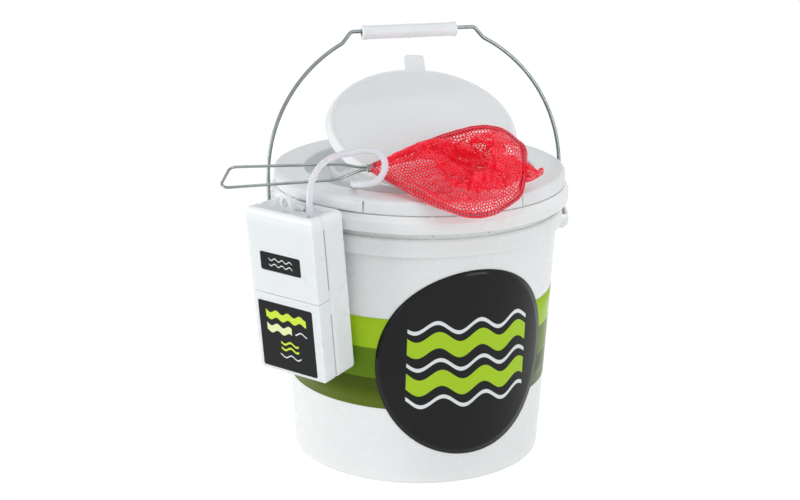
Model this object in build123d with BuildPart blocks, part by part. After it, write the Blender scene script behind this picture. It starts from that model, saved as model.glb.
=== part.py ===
"""Aerated bait bucket: an insulated 3.5 gallon pail with a hatched lid, an air pump and a dip net.

Millimetres, +Z up.  The origin is the centre of the pail's foot, and -Y is the front.
Azimuths are degrees from +X, counter-clockwise seen from above.
"""
from build123d import *
import math
import os

# ---------------------------------------------------------------- driving dimensions
FOOT_RADIUS = 128.0          # pail, outside
BODY_RADIUS = 141.2          # outside, just under the lower ring
BODY_HEIGHT = 241.0          # height at which the body has that radius
PAIL_TOP = 293.0
PAIL_WALL = 2.2
FOOT_RECESS = 5.0
FLOOR_THICKNESS = 2.4
LOWER_RING_RADIUS = 146.4
UPPER_RING_RADIUS = 152.4
BEAD_RADIUS = 146.2
LIP_THICKNESS = 1.8
GUSSET_COUNT = 16
GUSSET_THICKNESS = 1.6
HUB_RADIUS = 22.0            # moulding gate's hub under the floor
FOOT_RIB_COUNT = 8

LINER_GAP = 0.5              # foam liner
LINER_WALL = 13.0
LINER_FLOOR = 14.0
LINER_TOP = 262.0

LID_TOP = 296.8              # lid
LID_THICKNESS = 2.0
LID_RADIUS = 148.5
SKIRT_BOTTOM = 283.9
SKIRT_INNER = 146.8
RECESS_RADIUS = 117.0
RECESS_FLOOR = 281.8
COLLAR_OUTER = 91.0
OPENING_RADIUS = 87.5
COLLAR_TOP = 296.1
PLUG_RING_RADIUS = 138.4
PLUG_RING_BOTTOM = 285.5
SLIT_WIDTH = 1.2
SLIT_AZIMUTHS = (-48.0, 12.0, 75.0, 138.0)
LIFTED_START, LIFTED_END = -162.0, -110.5     # skirt section that rides over the pump's hook
LIFT = 1.7

HINGE_AZIMUTH = -79.0        # hatch
HINGE_RADIUS = 99.5
HINGE_HEIGHT = 295.2
HATCH_OPEN = 25.0            # the cover stands open by this angle
HATCH_RADIUS = 96.9
HATCH_TOP_RADIUS = 93.4
HATCH_BOTTOM = -2.1          # below the hinge line, in the hatch's own frame
HATCH_TOP = 4.4
HATCH_SKIN = 2.0
BARREL_RADIUS = 3.4
BARREL_LENGTH = 30.0
PIN_RADIUS = 1.5
PIN_LENGTH = 42.0
LUG_THICKNESS = 5.0
RUNNING_GAP = 0.05
TAB_WIDTH = 21.0
TAB_REACH = 117.5            # from the disc's centre to the tab's tip
TAB_BEARING = 5.5            # the tab stands off the hinge's opposite side by this angle

EAR_AZIMUTH = 17.0           # bail
EAR_HEIGHT = 231.0
EAR_RADIUS = 13.0
BAIL_LEAN = 7.5              # the bail leans back from upright by this angle
BAIL_WIRE_RADIUS = 1.9
BAIL_REACH = 155.5           # from the pail's axis to the centre of a bail leg
BAIL_LEG = 57.0
BOW_RADIUS = 150.5
BAIL_SHOULDER = 10.2         # straight run up to the level stretch under the grip
GRIP_LENGTH = 99.0
GRIP_RADIUS = 6.9
GRIP_FLANGE = 7.5
GRIP_BORE = 3.3
GRIP_OFFSET = -4.5

PUMP_WIDTH = 82.0            # air pump
PUMP_HEIGHT = 165.0
PUMP_DEPTH = 48.0
PUMP_AZIMUTH = -126.5        # direction its front looks
PUMP_DISTANCE = 156.4        # from the pail's axis to the top of the pump's back
PUMP_SIDESTEP = -13.2        # along its width, from the hook's middle
PUMP_TOP = 287.5
PUMP_LEAN = 7.0
PUMP_WALL = 2.2
PUMP_PARTING = 32.0          # depth at which the back case meets the front
PUMP_SEAM = 81.0             # drop of the seam over the battery cover
SEAM_GAP = 0.5
TOP_POCKET = 6.0
RIM_RISE = 6.0               # the rim climbs by this much from the back to the front
PUMP_ROUND = 5.5             # round of its top and bottom edges
RIM_THICKNESS = 4.5
SEAM_ROUND = 1.0
EYELET_X, EYELET_Y, EYELET_Z = -10.9, 5.2, 19.5
SWITCH_X, SWITCH_Z = -7.0, 8.0
SWITCH_TRAVEL = 5.0
FRONT_CORNER = 7.5
BACK_CORNER = 6.0
SMALL_PANEL = (-2.6, -46.9, 50.4, 19.4)    # middle across and up, width and height
LARGE_PANEL = (-2.6, -124.9, 68.4, 70.6)
CELL_RADIUS = 16.6
CELL_LENGTH = 60.0
NIPPLE_X, NIPPLE_Z = 24.0, 29.0

TUBE_RADIUS = 3.2            # air tube
TUBE_HOLE = (-62.0, -87.0)
STONE_RADIUS = 9.0
STONE_LENGTH = 34.0

NET_AZIMUTH = -98.0          # dip net
NET_TILT = 22.0
NET_EDGE_RADIUS = 148.5      # the net's plane passes over the lid's edge here
NET_EDGE_HEIGHT = 300.5
NET_WIRE_RADIUS = 1.4


def direction(azimuth, height=0.0):
    """Horizontal unit vector at an azimuth, with an optional height."""
    angle = math.radians(azimuth)
    return Vector(math.cos(angle), math.sin(angle), height)


def radial_plane(azimuth):
    """Upright plane through the Z axis: x runs outwards at the azimuth, y runs up."""
    outwards = direction(azimuth)
    return Plane(origin=(0, 0, 0), x_dir=outwards, z_dir=outwards.cross(Vector(0, 0, 1)))


def body_radius(height):
    """Outside radius of the pail's tapered wall."""
    return FOOT_RADIUS + (BODY_RADIUS - FOOT_RADIUS) * height / BODY_HEIGHT


def revolved(profile, start=0.0, arc=360.0, mode=Mode.ADD):
    """Revolve a closed (radius, height) outline about the Z axis."""
    with BuildSketch(radial_plane(start)) as section:
        with BuildLine():
            Polyline(*profile, close=True)
        make_face()
    revolve(section.sketch, axis=Axis.Z, revolution_arc=arc, mode=mode)


# ---------------------------------------------------------------- pail
LOWER_RING_BOTTOM, LOWER_RING_TOP = 241.6, 259.5
UPPER_RING_BOTTOM, UPPER_RING_TOP = 266.0, 277.0
SHOULDER = 282.6

ear_axis = direction(EAR_AZIMUTH)


def ear_plane(side, reach):
    """Plane square to the bail's axis at the right (+1) or left (-1) ear: x runs back, y runs up."""
    outwards = ear_axis * side
    return Plane(origin=outwards * reach + Vector(0, 0, EAR_HEIGHT),
                 x_dir=Vector(0, 0, 1).cross(ear_axis), z_dir=outwards)


with BuildPart() as gusset:
    with BuildSketch(radial_plane(0)):
        with BuildLine():
            Polyline((body_radius(243), 242.5), (LOWER_RING_RADIUS - 1.0, 243.5),
                     (LOWER_RING_RADIUS - 1.0, LOWER_RING_TOP - 1.5),
                     (body_radius(259), LOWER_RING_TOP - 1.5), close=True)
        make_face()
        with BuildLine():
            Polyline((body_radius(262), 261.0), (UPPER_RING_RADIUS - 0.9, UPPER_RING_BOTTOM + 1.0),
                     (UPPER_RING_RADIUS - 0.9, UPPER_RING_TOP - 1.0),
                     (body_radius(280), 281.0), close=True)
        make_face()
    extrude(amount=GUSSET_THICKNESS / 2, both=True)

with BuildPart() as foot_rib:
    with BuildSketch(radial_plane(0)):
        with BuildLine():
            Polyline((HUB_RADIUS, 0.8), (FOOT_RADIUS - 9.0, 0.8), (FOOT_RADIUS - 9.0, FOOT_RECESS + 0.5),
                     (HUB_RADIUS, FOOT_RECESS + 0.5), close=True)
        make_face()
    extrude(amount=GUSSET_THICKNESS / 2, both=True)

with BuildPart() as bucket_shell:
    revolved([
        (0, 0), (HUB_RADIUS, 0), (HUB_RADIUS + 1, FOOT_RECESS), (FOOT_RADIUS - 9.5, FOOT_RECESS),
        (FOOT_RADIUS - 8, 0), (FOOT_RADIUS - 2, 0),
        (FOOT_RADIUS - 0.5, 0.7), (body_radius(2.5), 2.5),
        (body_radius(256), 256.0), (LOWER_RING_RADIUS - LIP_THICKNESS, 255.6),
        (LOWER_RING_RADIUS - LIP_THICKNESS, LOWER_RING_BOTTOM), (LOWER_RING_RADIUS - 0.5, LOWER_RING_BOTTOM),
        (LOWER_RING_RADIUS, LOWER_RING_BOTTOM + 1.5), (LOWER_RING_RADIUS + 0.2, LOWER_RING_TOP - 2.5),
        (LOWER_RING_RADIUS - 1.0, LOWER_RING_TOP - 0.6), (body_radius(260), LOWER_RING_TOP),
        (body_radius(279), 279.0), (UPPER_RING_RADIUS - LIP_THICKNESS - 1.5, UPPER_RING_TOP - 0.5),
        (UPPER_RING_RADIUS - LIP_THICKNESS, UPPER_RING_TOP - 2.5),
        (UPPER_RING_RADIUS - LIP_THICKNESS, UPPER_RING_BOTTOM), (UPPER_RING_RADIUS - 0.5, UPPER_RING_BOTTOM),
        (UPPER_RING_RADIUS, UPPER_RING_BOTTOM + 1.0), (UPPER_RING_RADIUS, UPPER_RING_TOP - 0.6),
        (UPPER_RING_RADIUS - 0.7, UPPER_RING_TOP + 0.6), (UPPER_RING_RADIUS - 3.2, SHOULDER),
        (BEAD_RADIUS, SHOULDER),
        (BEAD_RADIUS, PAIL_TOP - 1.6), (BEAD_RADIUS - 1.6, PAIL_TOP),
        (body_radius(PAIL_TOP) - PAIL_WALL + 1.2, PAIL_TOP),
        (body_radius(PAIL_TOP) - PAIL_WALL, PAIL_TOP - 1.2),
        (body_radius(12) - PAIL_WALL, 12.0), (FOOT_RADIUS - 6.0, FOOT_RECESS + FLOOR_THICKNESS),
        (0, FOOT_RECESS + FLOOR_THICKNESS),
    ])
    with PolarLocations(0, GUSSET_COUNT, start_angle=EAR_AZIMUTH + 180 / GUSSET_COUNT):
        add(gusset.part)
    with PolarLocations(0, FOOT_RIB_COUNT):
        add(foot_rib.part)
    for side in (1, -1):
        # pad on the wall, outer cap, and the web that joins them below and in front of the leg
        with BuildSketch(ear_plane(side, 139.4)):
            Circle(EAR_RADIUS)
        extrude(amount=151.2 - 139.4)
        with BuildSketch(ear_plane(side, 158.2)):
            Circle(EAR_RADIUS - 0.5)
        extrude(amount=3.2, taper=30)
        with BuildSketch(ear_plane(side, 150.0)):
            Circle(EAR_RADIUS - 0.5)
            Circle(EAR_RADIUS - 5.0, mode=Mode.SUBTRACT)
            with BuildLine():
                Polyline((0, 0), (0, 20 * side), (20, 20 * side), (20, -16 * side), (3, -20 * side),
                         close=True)
            make_face(mode=Mode.SUBTRACT)
            with BuildLine():
                Polyline((0, 0), (0, 20 * side), (-20, 20 * side), (-20, 9 * side), close=True)
            make_face(mode=Mode.SUBTRACT)
        extrude(amount=158.4 - 150.0)
        with BuildSketch(ear_plane(side, 144.0)):
            Circle(BAIL_WIRE_RADIUS + RUNNING_GAP)
        extrude(amount=9.0, mode=Mode.SUBTRACT)

with BuildPart() as foam_liner:
    liner_bottom = FOOT_RECESS + FLOOR_THICKNESS + LINER_GAP
    liner_outer_low = body_radius(12) - PAIL_WALL - LINER_GAP
    liner_outer_high = body_radius(LINER_TOP) - PAIL_WALL - LINER_GAP
    revolved([
        (0, liner_bottom), (FOOT_RADIUS - 7.0, liner_bottom), (liner_outer_low, liner_bottom + 5.0),
        (liner_outer_high, LINER_TOP), (liner_outer_high - LINER_WALL, LINER_TOP),
        (liner_outer_low - LINER_WALL, liner_bottom + LINER_FLOOR + 6.0),
        (liner_outer_low - LINER_WALL - 6.0, liner_bottom + LINER_FLOOR),
        (0, liner_bottom + LINER_FLOOR),
    ])
liner_floor = liner_bottom + LINER_FLOOR

# ---------------------------------------------------------------- hatch frame
hinge_line = direction(HINGE_AZIMUTH + 90)            # runs along the hinge
hinge_point = direction(HINGE_AZIMUTH) * HINGE_RADIUS + Vector(0, 0, HINGE_HEIGHT)
open_angle = math.radians(HATCH_OPEN)
hatch_normal = direction(HINGE_AZIMUTH) * math.sin(open_angle) + Vector(0, 0, math.cos(open_angle))
HATCH = Plane(origin=hinge_point, x_dir=hinge_line, z_dir=hatch_normal)
HINGE_SECTION = Plane(origin=hinge_point, x_dir=direction(HINGE_AZIMUTH), z_dir=hinge_line * -1)


def hatch_plane(height):
    """Plane parallel to the hatch cover, at a height over the hinge line."""
    return HATCH.offset(height)


# ---------------------------------------------------------------- lid
with BuildPart() as lid:
    revolved([
        (OPENING_RADIUS, RECESS_FLOOR - LID_THICKNESS),
        (RECESS_RADIUS + LID_THICKNESS, RECESS_FLOOR - LID_THICKNESS),
        (RECESS_RADIUS + LID_THICKNESS, LID_TOP - LID_THICKNESS),
        (PLUG_RING_RADIUS - 1.8, LID_TOP - LID_THICKNESS),
        (PLUG_RING_RADIUS - 1.8, PLUG_RING_BOTTOM), (PLUG_RING_RADIUS, PLUG_RING_BOTTOM),
        (PLUG_RING_RADIUS, LID_TOP - LID_THICKNESS), (SKIRT_INNER, LID_TOP - LID_THICKNESS),
        (SKIRT_INNER, SKIRT_BOTTOM), (LID_RADIUS + 0.3, SKIRT_BOTTOM),
        (LID_RADIUS, LID_TOP - 3.2), (LID_RADIUS - 1.0, LID_TOP - 1.0), (LID_RADIUS - 3.2, LID_TOP),
        (RECESS_RADIUS + 1.2, LID_TOP), (RECESS_RADIUS, LID_TOP - 1.2),
        (RECESS_RADIUS - 0.8, RECESS_FLOOR), (COLLAR_OUTER + 0.3, RECESS_FLOOR),
        (COLLAR_OUTER, COLLAR_TOP), (OPENING_RADIUS, COLLAR_TOP),
    ])
    # the skirt section over the pump's hook stands a little further out
    lifted_arc = LIFTED_END - LIFTED_START
    revolved([(SKIRT_INNER - 0.5, SKIRT_BOTTOM - 1), (LID_RADIUS + 2, SKIRT_BOTTOM - 1),
              (LID_RADIUS + 2, LID_TOP - 2.6), (SKIRT_INNER - 0.5, LID_TOP - LID_THICKNESS)],
             start=LIFTED_START, arc=lifted_arc, mode=Mode.SUBTRACT)
    slit_angle = math.degrees(SLIT_WIDTH / LID_RADIUS)
    revolved([(SKIRT_INNER - 1.5, LID_TOP - LID_THICKNESS),
              (SKIRT_INNER + LIFT - 0.1, LID_TOP - LID_THICKNESS - 0.7),
              (SKIRT_INNER + LIFT - 0.1, SKIRT_BOTTOM + 0.7), (LID_RADIUS + LIFT, SKIRT_BOTTOM + 0.7),
              (LID_RADIUS + LIFT, LID_TOP - 4.4), (LID_RADIUS + 0.4, LID_TOP - 1.8),
              (LID_RADIUS - 2.2, LID_TOP - 0.6)],
             start=LIFTED_START + slit_angle, arc=lifted_arc - 2 * slit_angle)
    for azimuth in SLIT_AZIMUTHS:
        revolved([(SKIRT_INNER - 0.5, SKIRT_BOTTOM - 1), (LID_RADIUS + 2, SKIRT_BOTTOM - 1),
                  (LID_RADIUS + 2, LID_TOP - 2.4), (SKIRT_INNER - 0.5, LID_TOP - 2.4)],
                 start=azimuth, arc=slit_angle, mode=Mode.SUBTRACT)
    # hinge lugs stand in the recess on both sides of the hatch's barrel
    for offset in (BARREL_LENGTH / 2 + 0.3, -BARREL_LENGTH / 2 - 0.3 - LUG_THICKNESS):
        with BuildSketch(HINGE_SECTION.offset(offset)):
            Circle(BARREL_RADIUS)
            with BuildLine():
                Polyline((-3.2, 0), (-3.2, RECESS_FLOOR - HINGE_HEIGHT - 0.5),
                         (7.0, RECESS_FLOOR - HINGE_HEIGHT - 0.5), (3.3, 0), close=True)
            make_face()
            Circle(PIN_RADIUS, mode=Mode.SUBTRACT)
        extrude(amount=LUG_THICKNESS)
    with BuildSketch(Plane.XY.offset(RECESS_FLOOR - LID_THICKNESS - 1)):
        with Locations(TUBE_HOLE):
            Circle(4.8)
    extrude(amount=LID_THICKNESS + 2, mode=Mode.SUBTRACT)

with BuildPart() as lid_foam:
    with BuildSketch(Plane.XY.offset(RECESS_FLOOR - LID_THICKNESS)):
        Circle(RECESS_RADIUS + 1.0)
        Circle(OPENING_RADIUS + 2.0, mode=Mode.SUBTRACT)
        with Locations(TUBE_HOLE):
            Circle(7.5, mode=Mode.SUBTRACT)
    extrude(amount=-9.0)
    chamfer(lid_foam.faces().sort_by(Axis.Z)[0].edges().filter_by(GeomType.CIRCLE), 1.0)

with BuildPart() as tube_grommet:
    grommet_profile = [(TUBE_RADIUS, -3.6), (5.6, -3.6), (6.4, -2.0), (4.8, -2.0), (4.8, 0),
                       (6.6, 0), (6.0, 1.8), (4.4, 2.4), (TUBE_RADIUS, 2.4)]
    with BuildSketch(Plane(origin=(*TUBE_HOLE, RECESS_FLOOR), x_dir=(1, 0, 0), z_dir=(0, -1, 0))):
        with BuildLine():
            Polyline(*grommet_profile, close=True)
        make_face()
    revolve(axis=Axis((*TUBE_HOLE, RECESS_FLOOR), (0, 0, 1)))

with BuildPart() as hinge_pin:
    with BuildSketch(HINGE_SECTION.offset(-PIN_LENGTH / 2)):
        Circle(PIN_RADIUS)
    extrude(amount=PIN_LENGTH)
    chamfer(hinge_pin.edges().filter_by(GeomType.CIRCLE), 0.3)

# ---------------------------------------------------------------- hatch
disc_centre = HATCH.from_local_coords(Vector(0, HINGE_RADIUS, 0))
DISC_SECTION = Plane(origin=disc_centre, x_dir=hinge_line, z_dir=HATCH.y_dir * -1)
disc_axis = Axis(disc_centre, hatch_normal)
bearing = math.radians(90 - TAB_BEARING)
TAB = Plane(origin=disc_centre, x_dir=HATCH.x_dir * math.cos(bearing) + HATCH.y_dir * math.sin(bearing),
            z_dir=hatch_normal)

with BuildPart() as hatch_cover:
    with BuildSketch(DISC_SECTION):
        with BuildLine():
            Polyline((0, HATCH_TOP), (HATCH_TOP_RADIUS - 4, HATCH_TOP),
                     (HATCH_TOP_RADIUS - 3.2, HATCH_TOP + 0.6),
                     (HATCH_TOP_RADIUS - 1.2, HATCH_TOP + 0.6), (HATCH_TOP_RADIUS, HATCH_TOP - 0.6),
                     (HATCH_RADIUS - 0.4, HATCH_BOTTOM + 1.4), (HATCH_RADIUS, HATCH_BOTTOM),
                     (HATCH_RADIUS - HATCH_SKIN, HATCH_BOTTOM),
                     (HATCH_TOP_RADIUS - HATCH_SKIN, HATCH_TOP - HATCH_SKIN),
                     (0, HATCH_TOP - HATCH_SKIN), close=True)
        make_face()
    revolve(axis=disc_axis)
    # finger tab opposite the hinge, with a turned-up lip
    tab_start = HATCH_TOP_RADIUS - 2.0
    with BuildSketch(TAB.offset(HATCH_TOP - HATCH_SKIN)):
        with BuildLine():
            Polyline((tab_start, -TAB_WIDTH / 2), (TAB_REACH - 1.5, -TAB_WIDTH / 2),
                     (TAB_REACH, 1.5 - TAB_WIDTH / 2), (TAB_REACH, TAB_WIDTH / 2 - 1.5),
                     (TAB_REACH - 1.5, TAB_WIDTH / 2), (tab_start, TAB_WIDTH / 2), close=True)
        make_face()
    extrude(amount=HATCH_SKIN)
    with BuildSketch(TAB.offset(HATCH_TOP - 0.5)):
        with Locations((TAB_REACH - 1.5, 0)):
            Rectangle(3.0, TAB_WIDTH - 3)
    extrude(amount=1.9)
    # hinge barrel and its web
    with BuildSketch(HINGE_SECTION.offset(-BARREL_LENGTH / 2)):
        Circle(BARREL_RADIUS)
    extrude(amount=BARREL_LENGTH)
    with BuildSketch(hatch_plane(HATCH_BOTTOM)):
        with Locations((0, 2.9)):
            Rectangle(BARREL_LENGTH, 5.8)
    extrude(amount=3.6)
    with BuildSketch(HINGE_SECTION.offset(-BARREL_LENGTH / 2 - 1)):
        Circle(PIN_RADIUS + RUNNING_GAP)
    extrude(amount=BARREL_LENGTH + 2, mode=Mode.SUBTRACT)

with BuildPart() as hatch_foam:
    with BuildSketch(hatch_plane(HATCH_TOP - HATCH_SKIN)):
        with Locations((0, HINGE_RADIUS)):
            Circle(OPENING_RADIUS - 2.2)
    extrude(amount=-12.0)
    chamfer(hatch_foam.faces().sort_by(disc_axis)[0].edges(), 2.0)

with BuildPart() as hatch_gasket:
    with BuildSketch(hatch_plane(HATCH_TOP - HATCH_SKIN)):
        with Locations((0, HINGE_RADIUS)):
            Circle(COLLAR_OUTER - 0.3)
            Circle(OPENING_RADIUS + 0.2, mode=Mode.SUBTRACT)
    extrude(amount=-1.2)

# ---------------------------------------------------------------- bail
lean = math.radians(BAIL_LEAN)
bail_up = Vector(0, 0, 1) * math.cos(lean) + direction(EAR_AZIMUTH + 90) * math.sin(lean)
BAIL = Plane(origin=(0, 0, EAR_HEIGHT), x_dir=ear_axis, z_dir=ear_axis.cross(bail_up))

with BuildPart() as bail_wire:
    with BuildLine(BAIL):
        stub = Line((145.2, 0), (BAIL_REACH - 4.2, 0))
        heel = JernArc(start=stub @ 1, tangent=stub % 1, radius=4.2, arc_size=90)
        leg = Line(heel @ 1, (BAIL_REACH, BAIL_LEG))
        bow = JernArc(start=leg @ 1, tangent=leg % 1, radius=BOW_RADIUS, arc_size=62)
        kink = JernArc(start=bow @ 1, tangent=bow % 1, radius=8, arc_size=-22)
        shoulder = Line(kink @ 1, kink @ 1 + (kink % 1) * BAIL_SHOULDER)
        crook = JernArc(start=shoulder @ 1, tangent=shoulder % 1, radius=6, arc_size=50)
        top = Line(crook @ 1, (0, (crook @ 1 - BAIL.origin).dot(BAIL.y_dir)))
        mirror(about=Plane(origin=BAIL.origin, z_dir=BAIL.x_dir))
    with BuildSketch(Plane(origin=stub @ 0, z_dir=stub % 0)):
        Circle(BAIL_WIRE_RADIUS)
    sweep()
bail_height = (top @ 1 - BAIL.origin).dot(BAIL.y_dir)
print("bail wire crosses the middle at", round(bail_height, 2))

# the grip hangs on the wire, which touches the top of its bore
grip_drop = GRIP_BORE - BAIL_WIRE_RADIUS - RUNNING_GAP
grip_centre = BAIL.from_local_coords(Vector(GRIP_OFFSET, bail_height - grip_drop, 0))
GRIP = Plane(origin=grip_centre, x_dir=BAIL.x_dir, z_dir=BAIL.z_dir)
print("grip centre", grip_centre)
with BuildPart() as bail_grip:
    half = GRIP_LENGTH / 2
    with BuildSketch(GRIP):
        with BuildLine():
            Polyline((-half, GRIP_BORE), (-half, GRIP_FLANGE - 1), (-half + 0.8, GRIP_FLANGE),
                     (-half + 4.2, GRIP_FLANGE), (-half + 6, GRIP_RADIUS),
                     (-2.2, GRIP_RADIUS), (-1.4, GRIP_RADIUS + 0.5),
                     (1.4, GRIP_RADIUS + 0.5), (2.2, GRIP_RADIUS),
                     (half - 6, GRIP_RADIUS), (half - 4.2, GRIP_FLANGE),
                     (half - 0.8, GRIP_FLANGE), (half, GRIP_FLANGE - 1), (half, GRIP_BORE), close=True)
        make_face()
    revolve(axis=Axis(grip_centre, BAIL.x_dir))

# ---------------------------------------------------------------- air pump
pump_out = direction(PUMP_AZIMUTH)
pump_right = direction(PUMP_AZIMUTH + 90)
tilt = math.radians(PUMP_LEAN)
pump_up = Vector(0, 0, 1) * math.cos(tilt) + pump_out * math.sin(tilt)
pump_front = pump_right.cross(pump_up)
pump_origin = pump_out * PUMP_DISTANCE + pump_right * PUMP_SIDESTEP + Vector(0, 0, PUMP_TOP)
PUMP = Plane(origin=pump_origin, x_dir=pump_right, z_dir=pump_front)
pump_axis = Axis(pump_origin, pump_up)


def pump_point(x, y, z):
    """World point from the pump's frame: x to its right, y up from its top, z out from its back."""
    return PUMP.from_local_coords(Vector(x, y, z))


def pump_level(drop):
    """Plane across the pump at a drop from its top: x right, y out from its back, extruding downwards."""
    return Plane(origin=pump_point(0, -drop, 0), x_dir=pump_right, z_dir=pump_up * -1)


def pump_slab(left, right, back, front, top, bottom, radius=0.0, back_radius=0.0, mode=Mode.ADD):
    """Block in the pump's frame between two drops, with its front and back corners rounded."""
    with BuildSketch(pump_level(top)) as section:
        with Locations(((left + right) / 2, (back + front) / 2)):
            Rectangle(right - left, front - back)
        if radius:
            fillet(section.vertices().filter_by(lambda v: depth_of(v) > front - 1), radius)
        if back_radius:
            fillet(section.vertices().filter_by(lambda v: depth_of(v) < back + 1), back_radius)
    extrude(section.sketch, amount=bottom - top, mode=mode)


def front_panel(panel):
    """Sink a shallow panel for a label into the pump's front."""
    across, up, width, height = panel
    with BuildSketch(PUMP.offset(PUMP_DEPTH)) as face:
        with Locations((across, up)):
            RectangleRounded(width, height, 2.0)
    extrude(face.sketch, amount=-0.5, mode=Mode.SUBTRACT)


def rim_cut():
    """Slope the top of a case: the rim climbs from the back wall to the front."""
    with BuildSketch(Plane(origin=pump_origin, x_dir=pump_front, z_dir=pump_right * -1)) as wedge:
        with BuildLine():
            Polyline((-1, -RIM_RISE / PUMP_DEPTH), (PUMP_DEPTH + 1, RIM_RISE * (1 + 1 / PUMP_DEPTH)),
                     (PUMP_DEPTH + 1, 3 * RIM_RISE), (-1, 3 * RIM_RISE), close=True)
        make_face()
    extrude(wedge.sketch, amount=PUMP_WIDTH, both=True, mode=Mode.SUBTRACT)


def drop_of(shape):
    """Drop of a shape's centre below the pump's top."""
    return (pump_origin - Vector(shape.center())).dot(pump_up)


def depth_of(shape):
    """Depth of a shape's centre in the pump's frame."""
    return (Vector(shape.center()) - pump_origin).dot(pump_front)


def front_edges(case, drop):
    """Edges of a front piece that lie at one drop, ahead of the parting line."""
    return case.edges().filter_by(lambda e: abs(drop_of(e) - drop) < 0.1 and depth_of(e) > PUMP_PARTING + 1)


def rim_edges(case):
    """Edges of a case around its top rim, short of the parting line."""
    return case.edges().filter_by(lambda e: drop_of(e) < 1 and abs(depth_of(e) - PUMP_PARTING) > 1)


half_width = PUMP_WIDTH / 2
inner_width = half_width - PUMP_WALL
pocket_width = half_width - RIM_THICKNESS
pocket_floor = TOP_POCKET + PUMP_WALL
CASE_SCREWS = [(-33, -16), (33, -16), (-33, -72), (33, -72)]
HOOK_SCREWS = [(6.5, -12.5), (20.0, -12.5)]

with BuildPart() as pump_back_case:
    pump_slab(-half_width, half_width, 0, PUMP_PARTING, -RIM_RISE - 1, PUMP_HEIGHT, back_radius=BACK_CORNER)
    rim_cut()
    foot = pump_back_case.faces().sort_by(pump_axis)[0]
    fillet(foot.edges().filter_by(lambda e: depth_of(e) < PUMP_PARTING - 1), PUMP_ROUND)
    fillet(rim_edges(pump_back_case), PUMP_ROUND)
    for top, bottom in ((pocket_floor, PUMP_SEAM - 2), (PUMP_SEAM, PUMP_HEIGHT - PUMP_WALL)):
        pump_slab(-inner_width, inner_width, PUMP_WALL, PUMP_PARTING + 1, top, bottom,
                  back_radius=BACK_CORNER - PUMP_WALL, mode=Mode.SUBTRACT)
    pump_slab(-pocket_width, pocket_width, RIM_THICKNESS, PUMP_PARTING + 1, -RIM_RISE - 1, TOP_POCKET,
              back_radius=2.0, mode=Mode.SUBTRACT)
    # finger grooves along both sides of the parting line
    for start, end in ((14, 74), (97, 158)):
        for inner, outer in ((-half_width - 1, 1.2 - half_width), (half_width - 1.2, half_width + 1)):
            pump_slab(inner, outer, PUMP_PARTING - 2.0, PUMP_PARTING + 1, start, end, mode=Mode.SUBTRACT)
    # tongues that guide the battery cover
    for inner in (-inner_width + 0.3, inner_width - 1.5):
        pump_slab(inner, inner + 1.2, PUMP_PARTING - 6, PUMP_PARTING + 2.4, PUMP_SEAM + 4, PUMP_HEIGHT - 5)
    for inner in (-inner_width, inner_width - 0.4):
        pump_slab(inner, inner + 0.4, PUMP_PARTING - 6, PUMP_PARTING - 0.6, PUMP_SEAM + 4, PUMP_HEIGHT - 5)
    # loop for a lanyard
    with BuildSketch(PUMP.offset(EYELET_Z)):
        with Locations((EYELET_X, EYELET_Y)):
            Ellipse(7.0, 9.3)
            Ellipse(3.9, 5.0, mode=Mode.SUBTRACT)
    extrude(amount=4.5)
    pump_slab(EYELET_X - 4.5, EYELET_X + 4.5, EYELET_Z, EYELET_Z + 4.5, 1.5, TOP_POCKET + 0.5)
    # slot for the switch, bore for the nipple, counterbored screw holes
    pump_slab(SWITCH_X - 3.2, SWITCH_X + 3.2 + SWITCH_TRAVEL, SWITCH_Z - 2.2, SWITCH_Z + 2.2, TOP_POCKET - 1,
              pocket_floor + 1, mode=Mode.SUBTRACT)
    with BuildSketch(PUMP):
        with Locations(*CASE_SCREWS):
            Circle(3.6)
    extrude(amount=1.2, mode=Mode.SUBTRACT)
    with BuildSketch(PUMP):
        with Locations(*CASE_SCREWS):
            Circle(1.6)
    extrude(amount=PUMP_WALL + 1, mode=Mode.SUBTRACT)
    with BuildSketch(PUMP):
        with Locations(*HOOK_SCREWS):
            Circle(1.05)
    extrude(amount=PUMP_WALL + 1, mode=Mode.SUBTRACT)
    with BuildSketch(pump_level(TOP_POCKET - 1)):
        with Locations((NIPPLE_X, NIPPLE_Z)):
            Circle(2.5)
    extrude(amount=PUMP_WALL + 2, mode=Mode.SUBTRACT)

with BuildPart() as pump_front_case:
    pump_slab(-half_width, half_width, PUMP_PARTING, PUMP_DEPTH, -RIM_RISE - 1, PUMP_SEAM,
              radius=FRONT_CORNER)
    rim_cut()
    fillet(rim_edges(pump_front_case), PUMP_ROUND)
    fillet(front_edges(pump_front_case, PUMP_SEAM), SEAM_ROUND)
    pump_slab(-inner_width, inner_width, PUMP_PARTING - 1, PUMP_DEPTH - PUMP_WALL,
              pocket_floor, PUMP_SEAM - 2, radius=FRONT_CORNER - PUMP_WALL, mode=Mode.SUBTRACT)
    pump_slab(-pocket_width, pocket_width, PUMP_PARTING - 1, PUMP_DEPTH - RIM_THICKNESS,
              -RIM_RISE - 1, TOP_POCKET, radius=5.0, mode=Mode.SUBTRACT)
    front_panel(SMALL_PANEL)
    # screw posts reach back to the rear wall
    with BuildSketch(PUMP.offset(PUMP_WALL)):
        with Locations(*CASE_SCREWS):
            Circle(3.4)
            Circle(1.3, mode=Mode.SUBTRACT)
    extrude(amount=PUMP_DEPTH - 2 * PUMP_WALL + 0.2)

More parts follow.
